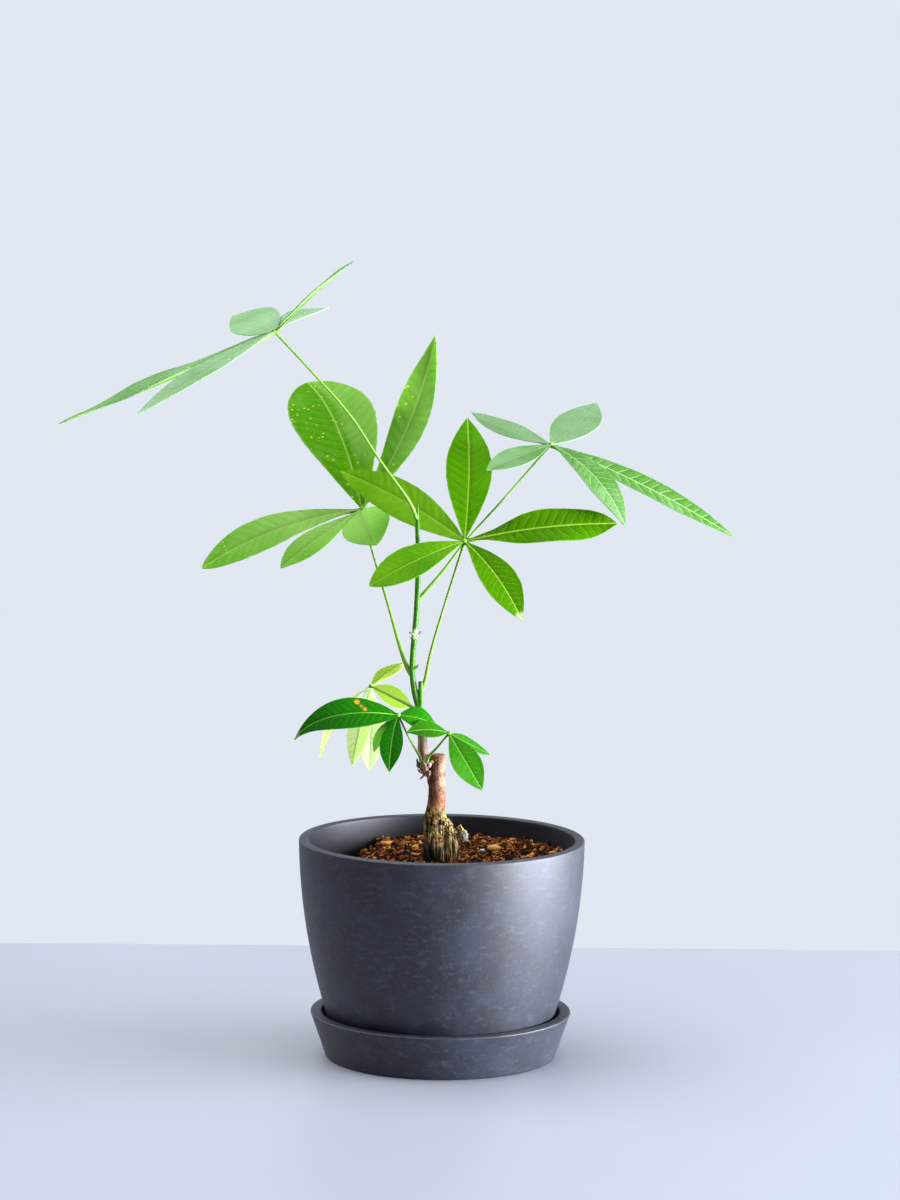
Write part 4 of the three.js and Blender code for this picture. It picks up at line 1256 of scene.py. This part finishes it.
def leaf_pattern(tree):
    """How much a point is on a lateral vein, how far off it is, and how much on the midrib and the margin."""
    place = node(tree, "ShaderNodeAttribute", settings={"attribute_name": "leaf_place"})
    axes = node(tree, "ShaderNodeSeparateXYZ", {0: place.outputs["Vector"]})
    out = node(tree, "ShaderNodeAttribute", settings={"attribute_name": "leaf_out"}).outputs["Fac"]
    across = node(tree, "ShaderNodeMath", {0: axes.outputs["Y"]}, {"operation": "ABSOLUTE"})
    off_vein = node(tree, "ShaderNodeMath", {0: axes.outputs["X"], 1: 0.5}, {"operation": "PINGPONG"})
    line = node(tree, "ShaderNodeMapRange", {"Value": off_vein.outputs[0], LOW: 0.1, HIGH: 0.02}, SMOOTH_STEP)
    inside = node(tree, "ShaderNodeMapRange", {"Value": out, LOW: 0.97, HIGH: 0.7}, SMOOTH_STEP)
    vein = node(tree, "ShaderNodeMath", {0: line.outputs[0], 1: inside.outputs[0]}, TIMES)
    rib = node(tree, "ShaderNodeMapRange", {"Value": across.outputs[0], LOW: 0.12, HIGH: 0.05}, SMOOTH_STEP)
    edge = node(tree, "ShaderNodeMapRange", {"Value": out, LOW: 0.93, HIGH: 1.0}, SMOOTH_STEP)
    return [made.outputs[0] for made in (vein, off_vein, rib, edge)]


def leaf_material(colour_set, blade, under):
    """Leaf of a money tree: satin cuticle over soft green flesh that light shines through.

    Veins and midrib are paler, the flesh has painted shade in the dips along them, and the underside is
    paler and duller. A tone below 0 paints shade over the whole leaflet.
    """
    light, vein_colour, under_colour, through = (shade(value) for value in LEAF_COLOURS[colour_set][1:5])
    lit, specular = LEAF_COLOURS[colour_set][5:]
    material, tree, place = new_material(f"{colour_set}_leaf_{'underside' if under else 'upper'}")
    vein, off_vein, rib, edge = leaf_pattern(tree)
    tone = node(tree, "ShaderNodeAttribute", settings={"attribute_name": "leaf_tone"})
    patches = node(tree, "ShaderNodeTexNoise",
                   {"Vector": place, "Scale": per_mm(22), "Detail": 3.0, "Roughness": 0.55})
    toned = node(tree, "ShaderNodeMath", {0: patches.outputs["Fac"], 1: 0.9, 2: tone.outputs["Fac"]},
                 {"operation": "MULTIPLY_ADD"})
    paleness = node(tree, "ShaderNodeMapRange", {"Value": toned.outputs[0], LOW: 0.45, HIGH: 1.45})
    flesh = node(tree, "ShaderNodeMix",
                 {FACTOR: paleness.outputs[0], FIRST: under_colour if under else opaque(blade),
                  SECOND: light}, COLOUR_MIX)
    # A tone below 0 dims the whole leaflet and the light through it by that share: painted shade
    painted_dimming = node(tree, "ShaderNodeMapRange", {"Value": tone.outputs["Fac"], LOW: -1.0, HIGH: 0.0})
    # Painted shade in the dips along the veins
    painted_dip_shade = node(tree, "ShaderNodeMapRange", {"Value": off_vein, LOW: 0.26, HIGH: 0.04, MOST: 0.28},
               SMOOTH_STEP)
    shaded_flesh = layered(tree, flesh.outputs[MIXED], (
        (1.0, painted_dimming.outputs[0]),
        (painted_dip_shade.outputs[0], (0.35, 0.45, 0.3, 1)),
    ), MULTIPLIED)
    strong_veins = under or colour_set == "pale"
    vein_share, rib_share, edge_share = (
        node(tree, "ShaderNodeMath", {0: where, 1: strength}, TIMES).outputs[0]
        for where, strength in ((vein, 0.5 if strong_veins else 0.2), (rib, 0.65), (edge, 0.35))
    )
    colour = layered(tree, shaded_flesh, (
        (vein_share, vein_colour),
        (rib_share, vein_colour),
        (edge_share, light),
    ))
    if colour_set in LEAF_SPECKS:
        spacing, hex_colour = LEAF_SPECKS[colour_set]
        full_green = node(tree, "ShaderNodeMapRange", {"Value": paleness.outputs[0], LOW: 0.46, HIGH: 0.3})
        speck_share = node(tree, "ShaderNodeMath", {0: dot_share(tree, place, spacing, 0.2, 0.1, 0.85),
                                                    1: full_green.outputs[0]}, TIMES)
        colour = node(tree, "ShaderNodeMix", {FACTOR: speck_share.outputs[0], FIRST: colour,
                                              SECOND: shade(hex_colour)}, COLOUR_MIX).outputs[MIXED]
    colour = marked(tree, place, colour, LEAF_MARKS.get(colour_set, ()))
    # The puckers of the real net are finer than the render shows, so they are drawn coarser
    pucker = node(tree, "ShaderNodeTexNoise", {"Vector": place, "Scale": per_mm(3.2), "Detail": 1.0})
    bump = node(tree, "ShaderNodeBump",
                {"Height": pucker.outputs["Fac"], "Strength": 0.5, "Distance": 0.25 * MM})
    gloss = node(tree, "ShaderNodeMapRange",
                 {"Value": patches.outputs["Fac"], LOW: 0.3, HIGH: 0.7, LEAST: 0.36, MOST: 0.5})
    surface = node(tree, "ShaderNodeBsdfPrincipled",
                   {"Base Color": colour, "Roughness": gloss.outputs[0], "Normal": bump.outputs[0],
                    "IOR": 1.42, "Specular IOR Level": specular})
    shone = layered(tree, through, (
        (vein_share, (0.75, 0.8, 0.7, 1)),
        (1.0, painted_dimming.outputs[0]),
    ), MULTIPLIED)
    glow = node(tree, "ShaderNodeBsdfTranslucent", {"Color": shone})
    both = node(tree, "ShaderNodeMixShader", {0: lit, 1: surface.outputs[0], 2: glow.outputs[0]})
    node(tree, "ShaderNodeOutputMaterial", {"Surface": both.outputs[0]})
    return material


def leaf_stalk_material(colour):
    """Leaf stalk and midrib: smooth, juicy and faintly waxy green."""
    material, tree, place = new_material("leaf_stalk_skin")
    streaks = node(tree, "ShaderNodeTexNoise", {"Vector": place, "Scale": per_mm(5), "Detail": 3.0})
    skin = node(tree, "ShaderNodeMix",
                {FACTOR: streaks.outputs["Fac"], FIRST: opaque(colour), SECOND: shade("#80A844")}, COLOUR_MIX)
    shader = node(tree, "ShaderNodeBsdfPrincipled", {"Base Color": skin.outputs[MIXED], "Roughness": 0.45,
                                                     "IOR": 1.42, "Specular IOR Level": 0.3})
    node(tree, "ShaderNodeOutputMaterial", {"Surface": shader.outputs[0]})
    return material


class MONEY_TREE_OT_pot(bpy.types.Operator):
    """Make the round pot and its saucer"""

    bl_idname = "money_tree.pot"
    bl_label = "Pot and saucer"
    bl_options = {"REGISTER", "UNDO"}

    def execute(self, context):
        pot = context.scene.money_tree_pot
        composite = composite_material(pot)
        add_piece("turned_pot", turned(pot_outline(pot), TURNED_STEPS), "pot", [composite])
        dish = turned(saucer_outline(pot), TURNED_STEPS, closed=False)
        add_piece("turned_saucer", dish, "saucer", [composite])
        return {"FINISHED"}


class MONEY_TREE_OT_soil(bpy.types.Operator):
    """Make the potting mix with its loose crumbs and chips"""

    bl_idname = "money_tree.soil"
    bl_label = "Potting mix"
    bl_options = {"REGISTER", "UNDO"}

    def execute(self, context):
        pot = context.scene.money_tree_pot
        soil = context.scene.money_tree_soil
        bm = soil_body(pot, soil.level / MM)
        bm.verts.layers.float.new("crumb_tone")
        scatter_crumbs(bm, pot, soil)
        add_piece("potting_mix", bm, "soil", [potting_mix_material(soil)])
        return {"FINISHED"}


class MONEY_TREE_OT_wood(bpy.types.Operator):
    """Make the sawn trunk and the green shoot on its side"""

    bl_idname = "money_tree.wood"
    bl_label = "Trunk and shoot"
    bl_options = {"REGISTER", "UNDO"}

    def execute(self, context):
        wood = context.scene.money_tree_wood
        add_piece("barked_trunk", trunk_shape(), "trunk", [bark_material(wood)])
        add_piece("shoot", shoot_shape(), "green_stem", [shoot_material(wood)])
        return {"FINISHED"}


class MONEY_TREE_OT_leaves(bpy.types.Operator):
    """Make the seven hand-shaped leaves"""

    bl_idname = "money_tree.leaves"
    bl_label = "Leaves"
    bl_options = {"REGISTER", "UNDO"}

    def execute(self, context):
        leaves = context.scene.money_tree_leaves
        skin = leaf_stalk_material(leaves.stalk)
        sets = {}
        for name, colours in LEAF_COLOURS.items():
            blade = getattr(leaves, colours[0])
            sets[name] = [leaf_material(name, blade, False), leaf_material(name, blade, True), skin]
        for name, leaf in LEAVES.items():
            add_leaf(name, leaf, leaves.thickness / MM, sets[leaf["colours"]])
        return {"FINISHED"}


# The studio, in metres: table top with its back edge behind the pot, and a camera a little above the plant
TABLE_BACK = 0.279
TABLE_FRONT = -1.9
TABLE_HALF_WIDTH = 1.7
TABLE_THICKNESS = 0.03
TABLE_EDGE = 0.0015
TABLE_GAP = 0.00002
CAMERA_PLACE = (0.0032, -2.304, 0.535)
CAMERA_PITCH = 7.26
CAMERA_ROLL = 0.49
CAMERA_LENS = 133.7
# Soft lights: place, what they face, width, height, power in watts and colour
LIGHTS = {
    "window": ((1.87, -0.25, 0.4), (0, 0, 0.15), 2.2, 0.8, 64, "#F4F6FF"),
    "strip": ((1.3, -0.3, 0.13), (0, 0, 0.06), 1.2, 0.24, 82, "#EFF3FF"),
    "room": ((-1.3, 1.2, 0.8), (0, 0, 0.2), 1.2, 1.2, 4, "#EAF1FF"),
    "ceiling": ((-0.7, 0.0, 2.2), (-0.1, 0, 0.0), 2.6, 2.6, 110, "#F4F7FF"),
}


def table_material():
    """Painted table top: smooth pale blue-grey paint with a soft shine."""
    material, tree, place = new_material("painted_table_top")
    drift = node(tree, "ShaderNodeTexNoise", {"Vector": place, "Scale": per_mm(260), "Detail": 3.0})
    paint = node(tree, "ShaderNodeMix",
                 {FACTOR: drift.outputs["Fac"], FIRST: shade("#8F929A"), SECOND: shade("#95989F")},
                 COLOUR_MIX)
    shader = node(tree, "ShaderNodeBsdfPrincipled", {"Base Color": paint.outputs[MIXED], "Roughness": 0.45})
    node(tree, "ShaderNodeOutputMaterial", {"Surface": shader.outputs[0]})
    return material


def build_table():
    """The table top, just under the saucer."""
    bm = bmesh.new()
    bmesh.ops.create_cube(bm, size=1)
    depth = TABLE_BACK - TABLE_FRONT
    bmesh.ops.scale(bm, vec=(2 * TABLE_HALF_WIDTH, depth, TABLE_THICKNESS), verts=bm.verts)
    middle = (0, (TABLE_BACK + TABLE_FRONT) / 2, -TABLE_THICKNESS / 2 - TABLE_GAP)
    bmesh.ops.translate(bm, vec=middle, verts=bm.verts)
    bmesh.ops.bevel(bm, geom=bm.edges[:], offset=TABLE_EDGE, affect="EDGES", segments=3, profile=0.5,
                    material=-1)
    mesh = bpy.data.meshes.new("table")
    bm.to_mesh(mesh)
    bm.free()
    mesh.materials.append(table_material())
    table = bpy.data.objects.new("table", mesh)
    bpy.context.scene.collection.objects.link(table)


def build_world():
    """A pale backdrop as the camera sees it; as a light it is bright behind the object and dim in front."""
    world = bpy.data.worlds.new("studio")
    world.use_nodes = True
    tree = world.node_tree
    tree.nodes.clear()
    seen = node(tree, "ShaderNodeLightPath")
    backdrop = node(tree, "ShaderNodeBackground", {"Color": shade("#E1E8F1"), "Strength": 1.0})
    direction = node(tree, "ShaderNodeTexCoord").outputs["Generated"]
    towards_light = node(tree, "ShaderNodeVectorMath", {0: direction, 1: (0.45, 0.8, 0.4)},
                         {"operation": "DOT_PRODUCT"})
    dimming = node(tree, "ShaderNodeMapRange", {"Value": towards_light.outputs["Value"], LOW: -0.6, HIGH: 0.9,
                                                LEAST: 0.1, MOST: 0.75}, SMOOTH_STEP)
    ambient = node(tree, "ShaderNodeBackground", {"Color": shade("#E2E9F4"), "Strength": dimming.outputs[0]})
    both = node(tree, "ShaderNodeMixShader",
                {0: seen.outputs["Is Camera Ray"], 1: ambient.outputs[0], 2: backdrop.outputs[0]})
    node(tree, "ShaderNodeOutputWorld", {"Surface": both.outputs[0]})
    bpy.context.scene.world = world


def build_lights():
    """Large soft lights: a window and a low strip at the right, the ceiling, and a little from behind."""
    for name, (place, target, width, height, power, hex_colour) in LIGHTS.items():
        light = bpy.data.lights.new(name, "AREA")
        light.shape = "RECTANGLE"
        light.size = width
        light.size_y = height
        light.energy = power
        light.color = linear(hex_colour)
        lamp = bpy.data.objects.new(name, light)
        lamp.location = place
        lamp.rotation_euler = (Vector(target) - Vector(place)).to_track_quat("-Z", "Y").to_euler()
        bpy.context.scene.collection.objects.link(lamp)


def build_camera():
    """The camera, a little higher than the plant's top, looking a little down with a slight roll."""
    data = bpy.data.cameras.new("camera")
    data.lens = CAMERA_LENS
    data.sensor_width = 36
    camera = bpy.data.objects.new("camera", data)
    tilt = Matrix.Rotation(math.radians(90 - CAMERA_PITCH), 4, "X")
    roll = Matrix.Rotation(math.radians(CAMERA_ROLL), 4, "Z")
    camera.matrix_world = Matrix.Translation(CAMERA_PLACE) @ tilt @ roll
    bpy.context.scene.collection.objects.link(camera)
    bpy.context.scene.camera = camera


class MONEY_TREE_OT_stage(bpy.types.Operator):
    """Set up the table, the pale backdrop, the soft lights and the camera"""

    bl_idname = "money_tree.stage"
    bl_label = "Studio"
    bl_options = {"REGISTER", "UNDO"}

    def execute(self, context):
        build_table()
        build_world()
        build_lights()
        build_camera()
        context.scene.view_settings.view_transform = "Standard"
        return {"FINISHED"}


class MONEY_TREE_PT_sidebar(bpy.types.Panel):
    """Lists the sizes, the colours and the operators that build the plant"""

    bl_idname = "MONEY_TREE_PT_sidebar"
    bl_label = "Money tree"
    bl_space_type = "VIEW_3D"
    bl_region_type = "UI"
    bl_category = "Money tree"

    def draw(self, context):
        for operator in OPERATORS:
            self.layout.operator(operator.bl_idname)
        for name in PROPERTY_GROUPS:
            group = getattr(context.scene, name)
            box = self.layout.box()
            for field in group.bl_rna.properties:
                if field.identifier not in {"rna_type", "name"}:
                    box.prop(group, field.identifier)


OPERATORS = (
    MONEY_TREE_OT_stage,
    MONEY_TREE_OT_pot,
    MONEY_TREE_OT_soil,
    MONEY_TREE_OT_wood,
    MONEY_TREE_OT_leaves,
)


def register():
    """Register the classes and give the scene its sizes and colours."""
    for cls in (*PROPERTY_GROUPS.values(), *OPERATORS, MONEY_TREE_PT_sidebar):
        bpy.utils.register_class(cls)
    for name, group in PROPERTY_GROUPS.items():
        setattr(bpy.types.Scene, name, PointerProperty(type=group))


def unregister():
    """Undo register."""
    for name in PROPERTY_GROUPS:
        delattr(bpy.types.Scene, name)
    for cls in (MONEY_TREE_PT_sidebar, *reversed(OPERATORS), *reversed(PROPERTY_GROUPS.values())):
        bpy.utils.unregister_class(cls)


def main():
    """Build everything."""
    register()
    bpy.ops.money_tree.stage()
    bpy.ops.money_tree.pot()
    bpy.ops.money_tree.soil()
    bpy.ops.money_tree.wood()
    bpy.ops.money_tree.leaves()


if __name__ == "__main__":
    main()
